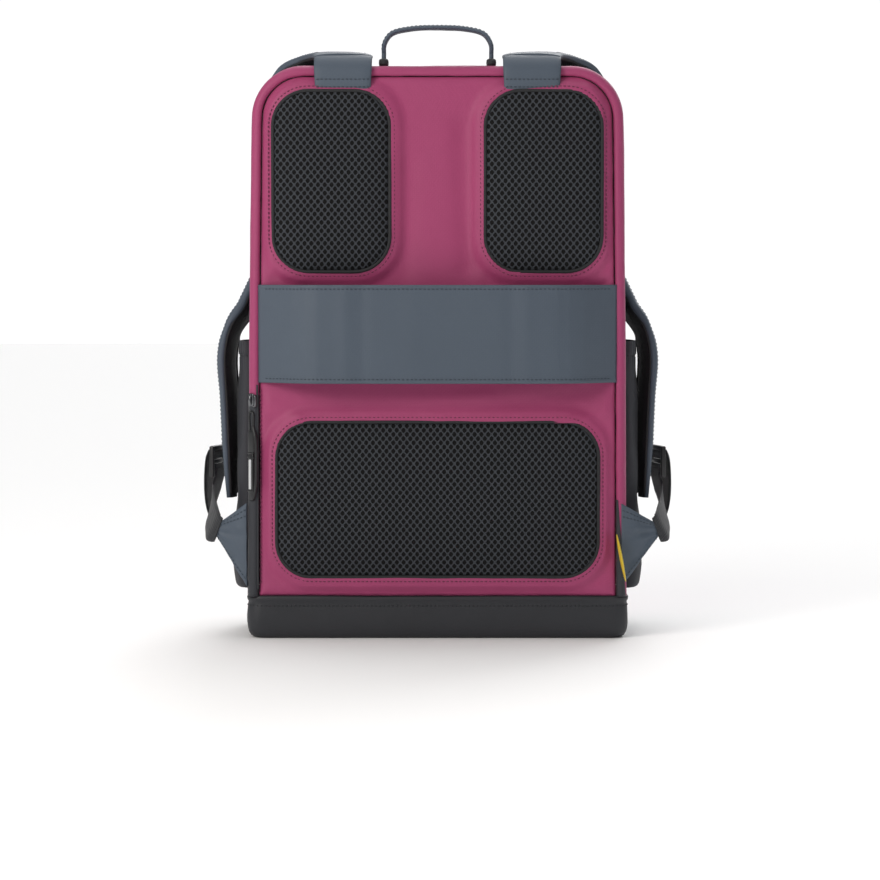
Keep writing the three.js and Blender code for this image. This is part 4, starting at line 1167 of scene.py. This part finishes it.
for side, sign, seam in (("right", 1, (147.5, -76.2)), ("left", -1, (153.4, -71.5))):
    sheet_points, out = tab_sheet(seam, (178, -61.5))
    tab = piece("side_tab_" + side, mirrored(cloth(sheet_points, 2.2, (0, 20, None)), sign), [SLATE],
                instead=["strap_tab_" + side])
    sewn = []
    for row in (36, 33, 3):
        for one in stitches(sheet_points[2:-2, row] + out[2:-2, row] * 0.15, out[2:-2, row], thick=0.4):
            sewn.append(mirrored(one, sign))
    for one in stitches(sheet_points[-5, 3:-3] + out[-5, 3:-3] * 0.15, out[-5, 3:-3], thick=0.4):
        sewn.append(mirrored(one, sign))
    piece("side_tab_stitching_" + side, sewn, [SLATE_THREAD])


def corner_strip(low, high, wide_low, wide_high, sign):
    """A charcoal strip lying on a rear corner, from the panel's seam outwards."""
    z = np.linspace(low, high, 40)[:, None]
    share = np.linspace(0, 1, 12)[None]
    reach = wide_low + (wide_high - wide_low) * (z - low) / (high - low)
    inset = 8.6 - reach * share
    y = np.interp(-inset, [-8.6, -7.9, -6.6, -5, -3.2, -1.7, -0.7, -0.2, 0, 0.6],
                  [-73.6, -75.4, -76.2, -76.5, -75.9, -74.4, -72.2, -69.3, -64.8, -60])
    x = (half_width(z, BACK_Y) - inset + 0.5 * smooth(-inset, -1.4, 0.2)) * sign
    y = y + 0.25 * wave(np.stack([x, y, z + 0 * share], axis=-1), (9, 9, 12), 73)
    return cloth(np.stack([x, y, z + 0 * share], axis=-1), 0.8, (0, 20, None))


piece("corner_strip_right", corner_strip(BASE_TOP, 112, 7.6, 1.2, 1), [CHARCOAL])
piece("corner_strip_left", corner_strip(BASE_TOP, 196, 9.2, 8.4, -1), [CHARCOAL])

LOOP_HALF = 19  # half the ribbon loop's height
rise = np.linspace(-1, 1, 40)[:, None]
turn = (np.arange(24) * 2 * math.pi / 24)[None]
belly = 1 - rise ** 2
loop_x = (0.45 + 1.25 * belly ** 0.8) * np.sin(turn) * (0.35 + 0.65 * (1 - np.cos(turn)) / 2) ** 0.8
loop_y = -4.6 - 4.6 * (0.5 + 0.5 * belly ** 0.4) * np.cos(turn)
loop_z = LOOP_HALF * rise + 0 * turn
lean = math.radians(-11)
loop = np.stack([146.8 + loop_x * math.cos(lean) + loop_z * math.sin(lean),
                 BACK_Y - 3.5 + loop_y,
                 66 - loop_x * math.sin(lean) + loop_z * math.cos(lean)], axis=-1)
ribbon = piece("ribbon_loop", close_ends(loop), [RIBBON], instead=["seam_loop"])
print("tabs, corner strips and a", 2 * LOOP_HALF, "mm ribbon loop")

# %% [markdown]
# ## Zips
# A coil zip is a nylon monofilament wound into a long spring and sewn to a woven tape. Closed, two coils
# mesh and look like one braided cord. Each coil here is a tube whose girth swells and shrinks once per
# turn, and it lies along the edge of its tape. The turns are drawn at 2.4 mm, a little coarser than real.

# %% Zip tapes, coils and stitching
TURN = 2.4  # length of one turn of a coil


def coil(path, radius=1.25, paint=0):
    """A zip coil along a path: a cord with one swelling per turn."""
    fine = resample(path, spacing=TURN / 5)
    girth = radius * (0.82 + 0.3 * np.abs(np.sin(np.arange(len(fine)) * math.pi / 5)))
    return tube(fine, girth, 6, up=(0.31, 0.87, 0.38), paint=paint)


def tape_sheet(y0, y1, inset, low):
    """A strip of tape round the arch, between two depths."""
    tape = arch_sheet([(inset, y) for y in np.linspace(y0, y1, 7)], low, 420)
    return tape + (normals(tape) * 0.25 * wave(tape, (9, 9, 14), 81)[..., None])


rear_tape = tape_sheet(36.2, 45.4, 0.5, BASE_TOP + 0.6)
rear_zip = piece("main_zip_rear", [cloth(rear_tape, 1.0), coil(arch(45.1, 0.1, BASE_TOP + 1, 900), paint=1)],
                 [TAPE, COIL], instead=["main_zip_tape_rear"])
main_out = normals(main)
gusset_rows = stitches(main[3:-3, -4] + main_out[3:-3, -4] * 0.1, main_out[3:-3, -4])
gusset_rows += stitches(main[3:-3, 3] + main_out[3:-3, 3] * 0.1, main_out[3:-3, 3])
piece("main_gusset_stitching", gusset_rows, [DARK_THREAD])

front_tape = tape_sheet(46.7, 51.5, 0.5, 38.2)
front_zip = piece("main_zip_front", [cloth(front_tape, 1.0), coil(arch(47.0, 0.1, 38.6, 900), paint=1)],
                  [TAPE, COIL], rides="front_cover", instead=["main_zip_tape_front"])
print("tapes of", len(rear_zip.data.polygons), "and", len(front_zip.data.polygons), "faces")

# %% [markdown]
# ## Front cover
# The front of the bag opens like a suitcase. A plum strip runs beside the zip, then a piping, then the
# front panel, which swells a little where it is stuffed. At the bottom the cover hangs from the base by a
# fold of fabric, and that fold is the hinge.

# %% Front cover and its fold
edge_profile = [(0.9, 51.0), (0.2, 51.4), (-0.1, 52.4), (0, 54.5), (0.4, 56.4), (1.4, 57.4)]
cover_edge = arch_sheet(edge_profile, 38.2, 420)
cover_edge = cover_edge + normals(cover_edge) * 0.2 * wave(cover_edge, (8, 8, 9), 82)[..., None]
strip_piece = piece("cover_edge_strip", cloth(cover_edge, 1.6, inside=1), [PLUM, LINING], rides="front_cover")
piece("cover_piping", tube(arch(57.6, 1.6, 38.4, 500), 1.5, 8, up=(0, 1, 0)), [BINDING], rides="front_cover")

# Front panel: rows across the arch at the front's width.
FRONT_SHOULDER = HEIGHT - TOP_FALL - CORNER  # where the front's upper corners begin
front_up = np.concatenate([np.arange(38.4, FRONT_SHOULDER, 4),
                           FRONT_SHOULDER + 38.5 * np.sin(np.linspace(0, math.pi / 2, 16))])
front_half = np.where(front_up < FRONT_SHOULDER, half_width(front_up, COVER_Y) - 3,
                      half_width(FRONT_SHOULDER, COVER_Y) - CORNER + (CORNER - 3) * np.sqrt(
                          np.clip(1 - ((front_up - FRONT_SHOULDER) / 39) ** 2, 0.001, 1)))
spread = 0.6 * np.sin(np.linspace(-1, 1, 91) * math.pi / 2 * 0.95) + 0.4 * np.linspace(-1, 1, 91)
front_x = front_half[:, None] * spread[None]
front_z = np.repeat(front_up[:, None], 91, axis=1)
rim = np.minimum(front_half[:, None] - np.abs(front_x), np.minimum(front_z - 38, 447.5 - front_z))
rim = np.clip(rim, 0, None)
front_y = 57.4 + 3.0 * np.sqrt(1 - (1 - np.clip(rim / 9, 0, 1)) ** 2) + 2.0 * smooth(rim, 4, 40) * smooth(
    front_z, 300, 330)
front_spots = np.stack([front_x, 0 * front_x, front_z], axis=-1)
front_y += 1.1 * folds(front_spots, (60, 50, 50), 83) * smooth(rim, 2, 25)
front_y += crease(front_x, front_z, (-60, 440), (-20, 330), 1.2, 7) + crease(
    front_x, front_z, (70, 430), (30, 335), 1.0, 7)
front = piece("front_panel_cover", cloth(np.stack([front_x, front_y, front_z], axis=-1), 2.6, (0, -60, None),
                                         inside=1), [PLUM, LINING], rides="front_cover",
              instead=["front_panel"])

fold_x = np.linspace(-126, 126, 60)[None]
fold_s = np.linspace(0, 1, 12)[:, None]
fold = np.stack([fold_x + 0 * fold_s, 55.4 + 2.6 * np.sin(math.pi * fold_s * 0.62) + 0 * fold_x,
                 30.5 + 11.5 * fold_s + 0 * fold_x], axis=-1)
fold[..., 1] += 0.25 * wave(fold, (12, 12, 12), 84)
hinge_fold = piece("cover_fold", cloth(fold, 1.0, (0, -60, None)), [CHARCOAL], rides=None)
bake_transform(hinge_fold)
print("front panel", len(front.data.polygons), "faces")

# %% [markdown]
# ## Front pocket
# The pocket on the cover is cut larger than the place it is sewn to, so it stands out like a tray: steep at
# the sides, and sloping at the bottom where it fills last. Its height follows the distance to its edge.
# A zip crosses it near the top.

# %% Front pocket and its zip
P_HALF, P_LOW, P_HIGH, P_R, P_ZIP = 116, 42, 304, 24, 262  # half width, bottom, top, corners, zip's height
pocket_up = P_LOW + (P_HIGH - P_LOW) * (0.5 - 0.5 * np.cos(np.linspace(0.02, math.pi - 0.02, 120)))
pocket_up = 0.5 * pocket_up + 0.5 * np.linspace(P_LOW, P_HIGH, 120)
corner_rise = np.maximum(0, np.maximum(P_LOW + P_R - pocket_up, pocket_up - P_HIGH + P_R))
pocket_half = P_HALF - P_R + np.sqrt(np.clip(P_R ** 2 - corner_rise ** 2, 0, None))
spread = 0.6 * np.sin(np.linspace(-1, 1, 121) * math.pi / 2) + 0.4 * np.linspace(-1, 1, 121)
pocket_x = pocket_half[:, None] * spread[None]
pocket_z = np.repeat(pocket_up[:, None], 121, axis=1)
inside_by = -outside(pocket_x, pocket_z, (-P_HALF, P_HALF, P_LOW, P_HIGH), P_R)
inside_by = np.clip(np.minimum(inside_by, (pocket_z - P_LOW) / 2), 0, None)
swell = 1 - (1 - np.clip(inside_by / 13, 0, 1)) ** 2.2
pocket_y = 60.2 + 19.2 * swell ** 0.62
spots = np.stack([pocket_x, 0 * pocket_x, pocket_z], axis=-1)
flat_part = smooth(inside_by, 4, 22)
pocket_y += (1.5 * folds(spots, (55, 50, 70), 85) + 0.5 * wave(spots, (20, 20, 34), 87)) * flat_part \
    * (1 - np.exp(-((pocket_z - P_ZIP) / 14) ** 2))
pocket_y += crease(pocket_x, pocket_z, (-96, 70), (-50, 120), -1.4, 7) * flat_part
pocket_y += crease(pocket_x, pocket_z, (98, 72), (60, 116), -1.4, 7) * flat_part
pocket_y -= 1.2 * np.exp(-((pocket_z - P_ZIP) / 5.5) ** 4) * (1 - smooth(np.abs(pocket_x), 97, 102))
pouch = piece("front_pocket_cover", cloth(np.stack([pocket_x, pocket_y, pocket_z], axis=-1), 1.6,
                                          (0, 20, None), inside=1), [PLUM, LINING], rides="front_cover",
              instead=["front_pocket"])
edge_line = rounded(-P_HALF + 0.5, P_HALF - 0.5, P_LOW + 0.5, P_HIGH - 0.5, P_R, 20)
edge_line = np.column_stack([edge_line[:, 0], np.full(len(edge_line), 60.9), edge_line[:, 1]])
piece("front_pocket_piping", tube(resample(edge_line, spacing=3, closed=True), 1.6, 8, closed=True,
                                  up=(0, 1, 0)), [BINDING], rides="front_cover")
tape_x, tape_z = np.meshgrid(np.linspace(-98, 98, 120), np.linspace(P_ZIP - 8, P_ZIP + 8, 9))
zip_y = 80.9 - 0.5 * np.exp(-((np.abs(tape_z - P_ZIP) - 8) / 1.6) ** 2) + 0.15 * wave(
    np.stack([tape_x, tape_x * 0, tape_z], axis=-1), (9, 9, 9), 86)
zip_line = np.column_stack([np.linspace(-96, 96, 90), np.full(90, 81.4), np.full(90, float(P_ZIP))])
pocket_zip = piece("front_pocket_zip", [cloth(np.stack([tape_x, zip_y, tape_z], axis=-1), 0.9, (0, 20, None))]
                   + [coil(zip_line + [0, 0, dz], 1.0, paint=1) for dz in (-0.95, 0.95)],
                   [TAPE, COIL], rides="front_cover", instead=["front_pocket_zip_tape"])
welts = []
for height in (P_ZIP - 9.6, P_ZIP + 9.6):
    line = np.column_stack([np.linspace(-99, 99, 80), np.full(80, 80.6), np.full(80, height)])
    welts.append(tube(line, 1.7, 8, up=(0, 1, 0), flat=0.7))
piece("front_pocket_welts", welts, [PLUM], rides="front_cover")
zip_rows = []
for height in (P_ZIP - 12.4, P_ZIP + 12.4):
    line = np.column_stack([np.linspace(-99, 99, 80), np.full(80, 80.35), np.full(80, height)])
    zip_rows += stitches(line, (0, 1, 0))
piece("front_pocket_stitching", zip_rows, [PLUM_THREAD], rides="front_cover")
print("pocket stands out to", round(float(pocket_y.max()), 1), "mm")

# %% [markdown]
# ## Sliders and pulls
# A zip slider is a small zinc casting: a body that the coils run through, and a bridge that holds the pull.
# The pulls are cords with a moulded grip. Both are made in their own directions (along the zip, across it,
# and out of the cloth) and then set in place, so that one recipe does for every zip.

# %% Sliders and pulls
def slider_parts(at, ahead, out):
    """The body and bridge of a slider that runs along `ahead`; out is away from the tape."""
    at, ahead, out = (np.asarray(v, float) for v in (at, ahead, out))
    across = np.cross(out, ahead)
    body_part = bar(at - ahead * 6 + out * 1.1, at + ahead * 4.6 + out * 1.1, 8.6, 2.2, across, 0.9)
    plate_part = bar(at - ahead * 5 + out * 2.6, at + ahead * 5.4 + out * 2.6, 6.2, 1.5, across, 0.9)
    turn = np.linspace(0.1, math.pi - 0.1, 14)
    bridge = at + np.outer(np.cos(turn) * 4.2, ahead) + np.outer(2.2 + np.sin(turn) * 2.1, out)
    return [body_part, plate_part, tube(bridge, 0.85, 8, up=across, flat=1.3)]


def pull_parts(top, down, out, long, grip):
    """A looped cord and its moulded grip, hanging from `top` along `down`; grip is where the grip starts."""
    top, down, out = (np.asarray(v, float) for v in (top, down, out))
    across = np.cross(down, out)
    lift = out * 1.5
    parts = []
    turn = np.linspace(0, math.pi, 12)
    loop = [top + lift + across * 2.4 * math.cos(a) + down * (2.6 - 2.4 * math.sin(a)) for a in turn]
    loop = [loop[0] + down * (grip + 1), *loop, loop[-1] + down * (grip + 1)]
    parts.append(tube(resample(np.array(loop), spacing=1), 0.95, 8, up=out))
    parts.append(bar(top + lift + down * grip, top + lift + down * (long - 1), 7.2, 2.6, across, 1.2))
    for share in (0.0, 2.6, 5.2):
        spot = top + lift + down * (grip + 1.5 + share)
        parts.append(bar(spot - across * 3.9, spot + across * 3.9, 1.3, 3.0, down, 0.6))
    return parts


top_z = HEIGHT - TOP_FALL * (MOUTH_Y - SEAM_Y) / (COVER_Y - SEAM_Y) + 0.4
for side, sign in (("left", -1), ("right", 1)):
    made = piece("main_slider_body_" + side,
                 slider_parts((8 * sign, MOUTH_Y, top_z + 0.2), (sign, 0, 0), (0, 0, 1)),
                 [NICKEL], rides="slider_" + side, instead=["main_slider_" + side])
    lean = math.radians(5)
    made = piece("main_pull_cord_" + side,
                 pull_parts((8 * sign, MOUTH_Y - 6.8, top_z + 2.2), (0, -math.cos(lean), math.sin(lean)),
                            (0, math.sin(lean), math.cos(lean)), 38, 12),
                 [ACETAL], rides="pull_" + side, instead=["main_pull_" + side])

slot_y = POCKET_Y + GAP + 1.6
made = piece("pocket_slider_body", slider_parts((84, slot_y, P_ZIP), (1, 0, 0), (0, 1, 0)), [NICKEL],
             rides="pocket_slider", instead=["front_pocket_slider"])
made = piece("pocket_pull_cord", pull_parts((84, slot_y + 1, P_ZIP - 6.6), (0, 0, -1), (0, 1, 0), 42, 12),
             [ACETAL], rides="pocket_pull", instead=["front_pocket_pull"])
print("sliders on the main zip and the pocket")

# %% [markdown]
# ## Side zip
# A hidden pocket behind the back panel opens at the left rear corner. Its pull is the one that shows: a tab,
# two moulded ridges, a strip of silvery piping and a dark tip, with the free strand of its cord beside it;
# all but the strip are drawn in black acetal.

# %% Side zip and its pull
SIDE_REAR, SIDE_FRONT = np.array((-143.4, -76.4, 0)), np.array((-148.8, -70.2, 0))
zip_mid = (SIDE_REAR + SIDE_FRONT) / 2
zip_way = (SIDE_FRONT - SIDE_REAR) / np.linalg.norm(SIDE_FRONT - SIDE_REAR)
zip_out = np.array((-zip_way[1], zip_way[0], 0))
across_zip = np.linspace(-4.1, 4.1, 9)[None]
zip_z = np.linspace(40, 204, 120)[:, None]
UP = np.array((0, 0, 1.0))
tape = zip_mid + across_zip[..., None] * zip_way + (zip_z + 0 * across_zip)[..., None] * UP \
    + zip_out * (0.5 + 0.2 * wave(np.stack([across_zip + 0 * zip_z, 0 * zip_z + 0 * across_zip,
                                            zip_z + 0 * across_zip], axis=-1), (5, 5, 14), 91))[..., None]
line = zip_mid + np.outer(np.linspace(41, 196, 80), (0, 0, 1)) + zip_out * 0.9
side_zip = piece("side_zip", [cloth(tape, 0.9, (0, 0, None))] + [coil(line + zip_way * d, 0.95, paint=1)
                                                                for d in (-0.9, 0.9)], [TAPE, COIL],
                 instead=["side_zip_tape"])
made = piece("side_slider_body", slider_parts(zip_mid + [0, 0, 192] + zip_out * 1.1, (0, 0, 1), zip_out),
             [NICKEL], rides="side_zip_slider", instead=["side_slider"])

hang = zip_mid + zip_out * 2.0 + [0, 0, 183]
lift = zip_out * 1.5
down = np.array((0, 0, -1.0))
grip = [bar(hang + lift + down * 15, hang + lift + down * 34, 8, 2.6, zip_way, 0.8),
        bar(hang + lift + down * 33, hang + lift + down * 72, 6.4, 2.8, zip_way, 1.2)]
for share in (33.5, 37, 64):
    spot = hang + lift + down * share
    grip.append(bar(spot - zip_way * 4, spot + zip_way * 4, 1.7, 3.4, down, 0.6))
turn = np.linspace(0, math.pi, 12)
ring = [hang + lift + zip_way * 2.6 * math.cos(a) + down * (3.4 - 3.2 * math.sin(a)) for a in turn]
ring = [hang + lift + zip_way * 1.6 + down * 17, *ring, hang + lift - zip_way * 1.6 + down * 17]
grip.append(tube(resample(np.array(ring), spacing=1), 1.0, 8, up=zip_out))
strand = np.array([hang + lift * 0.8 - zip_way * d + down * z for d, z in
                   ((1.5, 12), (4.6, 20), (5.6, 34), (5.4, 48), (5.0, 58), (3.4, 66), (1.8, 70))])
strand = np.array([spline(strand, a) for a in np.linspace(0, len(strand) - 1, 50)])
grip.append(tube(strand, 1.35, 8, up=zip_out))
made = piece("side_pull_cord", grip, [ACETAL], rides="side_zip_pull", instead=["side_pull"])
proud = hang + zip_out * 3.0
made = piece("side_pull_strip", bar(proud + down * 38.5, proud + down * 62.5, 2.8, 1.5, zip_way, 0.7),
             [REFLECTIVE], rides="side_zip_pull", instead=["side_pull_inlay"])
zip_edge = resample(np.array([[-141.6, 46.0], [-141.4, 200.0]]), spacing=3)
# The panel is stitched down beside the zip.
rise = panel_height(zip_edge[:, 0], zip_edge[:, 1]) * smooth(151.8 - PANEL_SEAM + zip_edge[:, 0], 0, 9)
sewn_edge = np.stack([zip_edge[:, 0], BACK_Y - rise - 0.5, zip_edge[:, 1]], axis=-1)
piece("side_zip_stitching", stitches(sewn_edge, (0, -1, 0), thick=0.45), [PLUM_THREAD])
print("side pull", round(made.dimensions.z / MM), "mm of silver strip")

# %% [markdown]
# ## Bottle pockets
# Each flank has a pocket of charcoal fabric. It is cut wider than its base, so it stands off the bag like
# half a cup, and elastic in its hem gathers the top edge. Sewn-in fullness shows as soft upright folds, and
# the bottom bellies out over the base.

# %% Bottle pockets
BOTTLE_REAR, BOTTLE_FRONT, BOTTLE_HIGH = -30, 40, 238
# How far the pocket stands off the flank, at these heights.
BULGE = [[0, 52, 80, 112, 150, 240], [8, 17, 18, 14, 13, 13.5]]
low_rows = np.array([[36, 0.5], [36.2, 0.8], [37.2, 0.93], [39, 1], [42, 1.02]])
hem_low = BOTTLE_HIGH - 12
levels = np.concatenate([low_rows[:, 0], np.linspace(46, hem_low - 2, 60), [hem_low, hem_low + 1],
                         np.linspace(hem_low + 3, BOTTLE_HIGH - 1.6, 6), [BOTTLE_HIGH - 0.5, BOTTLE_HIGH]])
share = np.interp(levels, low_rows[:, 0], low_rows[:, 1])[:, None]
angle = np.concatenate([[0], np.linspace(0.02, math.pi - 0.02, 55), [math.pi]])[None]
y = BOTTLE_REAR + (BOTTLE_FRONT - BOTTLE_REAR) * (1 - np.cos(angle)) / 2 + 0 * share
bulge = np.interp(levels, *BULGE)[:, None] * share
x = half_width(levels[:, None], y) + 0.9 + bulge * np.sin(angle) ** 0.6
cup = np.stack([x, y, np.repeat(levels[:, None], angle.shape[1], axis=1)], axis=-1)
flange = [cup[:, :1] + [0.3, d, 0] for d in (-5, -2.5)], [cup[:, -1:] + [-0.2, d, 0] for d in (2.5, 5)]
for strip_side in flange:
    for column in strip_side:
        column[..., 0] = half_width(column[..., 2], column[..., 1]) + 1.0
cup = np.concatenate([*flange[0], cup, *flange[1]], axis=1)
cup_out = normals(cup)
standing = smooth(cup[..., 0] - half_width(cup[..., 2], cup[..., 1]), 1.5, 6)
soft_folds = 1.3 * folds(cup, (24, 15, 46), 92) * standing + 0.9 * wave(cup, (20, 20, 9), 93) * standing \
    * (1 - smooth(cup[..., 2], 60, 100))
gather = 0.55 * np.sin(cup[..., 1] * 2.1 + 2 * wave(cup, (20, 12, 60), 94)) * standing \
    * smooth(cup[..., 2], hem_low - 14, hem_low + 2)
hem_roll = 0.7 * smooth(cup[..., 2], hem_low - 0.5, hem_low + 1) - 0.8 * np.exp(
    -((cup[..., 2] - hem_low) / 1.0) ** 2)
cup = cup + cup_out * (soft_folds * (1 - smooth(cup[..., 2], 200, 225) * 0.6) + gather
                       + hem_roll * standing)[..., None]
for side, sign in (("right", 1), ("left", -1)):
    made = piece("bottle_pocket_cloth_" + side, mirrored(cloth(cup, 1.7, inside=0), sign), [CHARCOAL],
                 instead=["bottle_pocket_" + side])
    sewn = []
    hem_row = int(np.argmin(np.abs(levels - hem_low)))
    for one in stitches(cup[hem_row, 5:-5] + cup_out[hem_row, 5:-5] * 0.1, cup_out[hem_row, 5:-5]):
        sewn.append(mirrored(one, sign))
    for column in (1, -2):
        for one in stitches(cup[6:-2, column] + cup_out[6:-2, column] * 0.1, cup_out[6:-2, column]):
            sewn.append(mirrored(one, sign))
    piece("bottle_pocket_stitching_" + side, sewn, [DARK_THREAD])
print("pocket stands", round(float((cup[..., 0] - half_width(cup[..., 2], cup[..., 1])).max())), "mm off")

# %% [markdown]
# ## Haul handle and strap roots
# The bag is lifted by a loop of folded fabric at the top of the back panel. Its two ends go into short
# webbing anchors, boxed with stitches. The shoulder straps start beside it, under a doubled strip of slate
# fabric that is sewn across the panel and folds over the top edge.

# %% Handle, anchors and strap roots
HANDLE_Y = -56  # depth of the handle's middle
HANDLE = [((x, HANDLE_Y, z), (0, 1, 0), wide, 3.6) for x, z, wide in (
    (-43, 463, 9), (-43, 468, 9), (-42.5, 476, 20), (-37, 484, 20), (-22, 488, 20), (0, 489, 20),
    (22, 488, 20), (37, 484, 20), (42.5, 476, 20), (43, 468, 9), (43, 463, 9))]
grab_middle, grab_wide, grab_out, grab_size = strap_frames(HANDLE, 120)
grab_angle = (np.arange(24) + 0.5) * 2 * math.pi / 24
a, b = oblong(grab_angle[None], grab_size[:, :1], grab_size[:, 1:], 3)
grab = grab_middle[:, None] + a[..., None] * grab_wide[:, None] + b[..., None] * grab_out[:, None]
grab = grab + 0.25 * wave(grab, (9, 9, 9), 95)[..., None] * grab_out[:, None]
grab = np.concatenate([np.repeat(grab[[0]].mean(axis=1, keepdims=True), 24, axis=1), grab,
                       np.repeat(grab[[-1]].mean(axis=1, keepdims=True), 24, axis=1)])
faces, uv = lay(grab, False, True)
handle = piece("haul_handle_cloth", body(grab.reshape(-1, 3), faces, uv, 0), [SLATE], rides=None,
               instead=["haul_handle"])
up_sign = np.sign(grab_out[60, 2])
grab_rows = []
for direction in (1, -1):
    line = grab_middle + grab_wide * (grab_size[:, :1] / 2 - 2.2) * direction + grab_out * up_sign * 1.45
    grab_rows += stitches(line[18:-18], (grab_out * up_sign)[18:-18], thick=0.22)
grab_thread = piece("haul_handle_stitching", grab_rows, [SLATE_THREAD], rides=None)
for made in (handle, grab_thread):
    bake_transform(made)

for side, sign in (("right", 1), ("left", -1)):
    anchor = bar((39 * sign, HANDLE_Y, 461.2), (47 * sign, HANDLE_Y, 461.2), 20, 6.2, (0, 1, 0), 0.5)
    made = piece("handle_anchor_web_" + side, anchor, [WEBBING], instead=["handle_anchor_" + side])
    root = [((75, -78.4, 438), (1, 0, 0), 44, 3.4), ((75, -78.8, 448), (1, 0, 0), 45, 3.6),
            ((75, -77.6, 456), (1, 0, 0), 46, 3.8), ((75, -73.2, 461.6), (1, 0, 0), 46, 4),
            ((75, -67, 464.2), (1, 0, 0), 46, 4.4), ((75, -61, 464.8), (1, 0, 0), 45, 4)]
    made = piece("strap_root_cloth_" + side, mirrored(strip(root, 40, 25), sign), [SLATE],
                 instead=["strap_root_" + side])
    sewn = []
    for height, y in ((440.4, -80.5), (446.5, -80.7)):
        line = np.column_stack([np.linspace(55, 95, 30), np.full(30, y), np.full(30, height)])
        for one in stitches(line, (0, -1, 0), thick=0.45):
            sewn.append(mirrored(one, sign))
    piece("strap_root_stitching_" + side, sewn, [SLATE_THREAD])
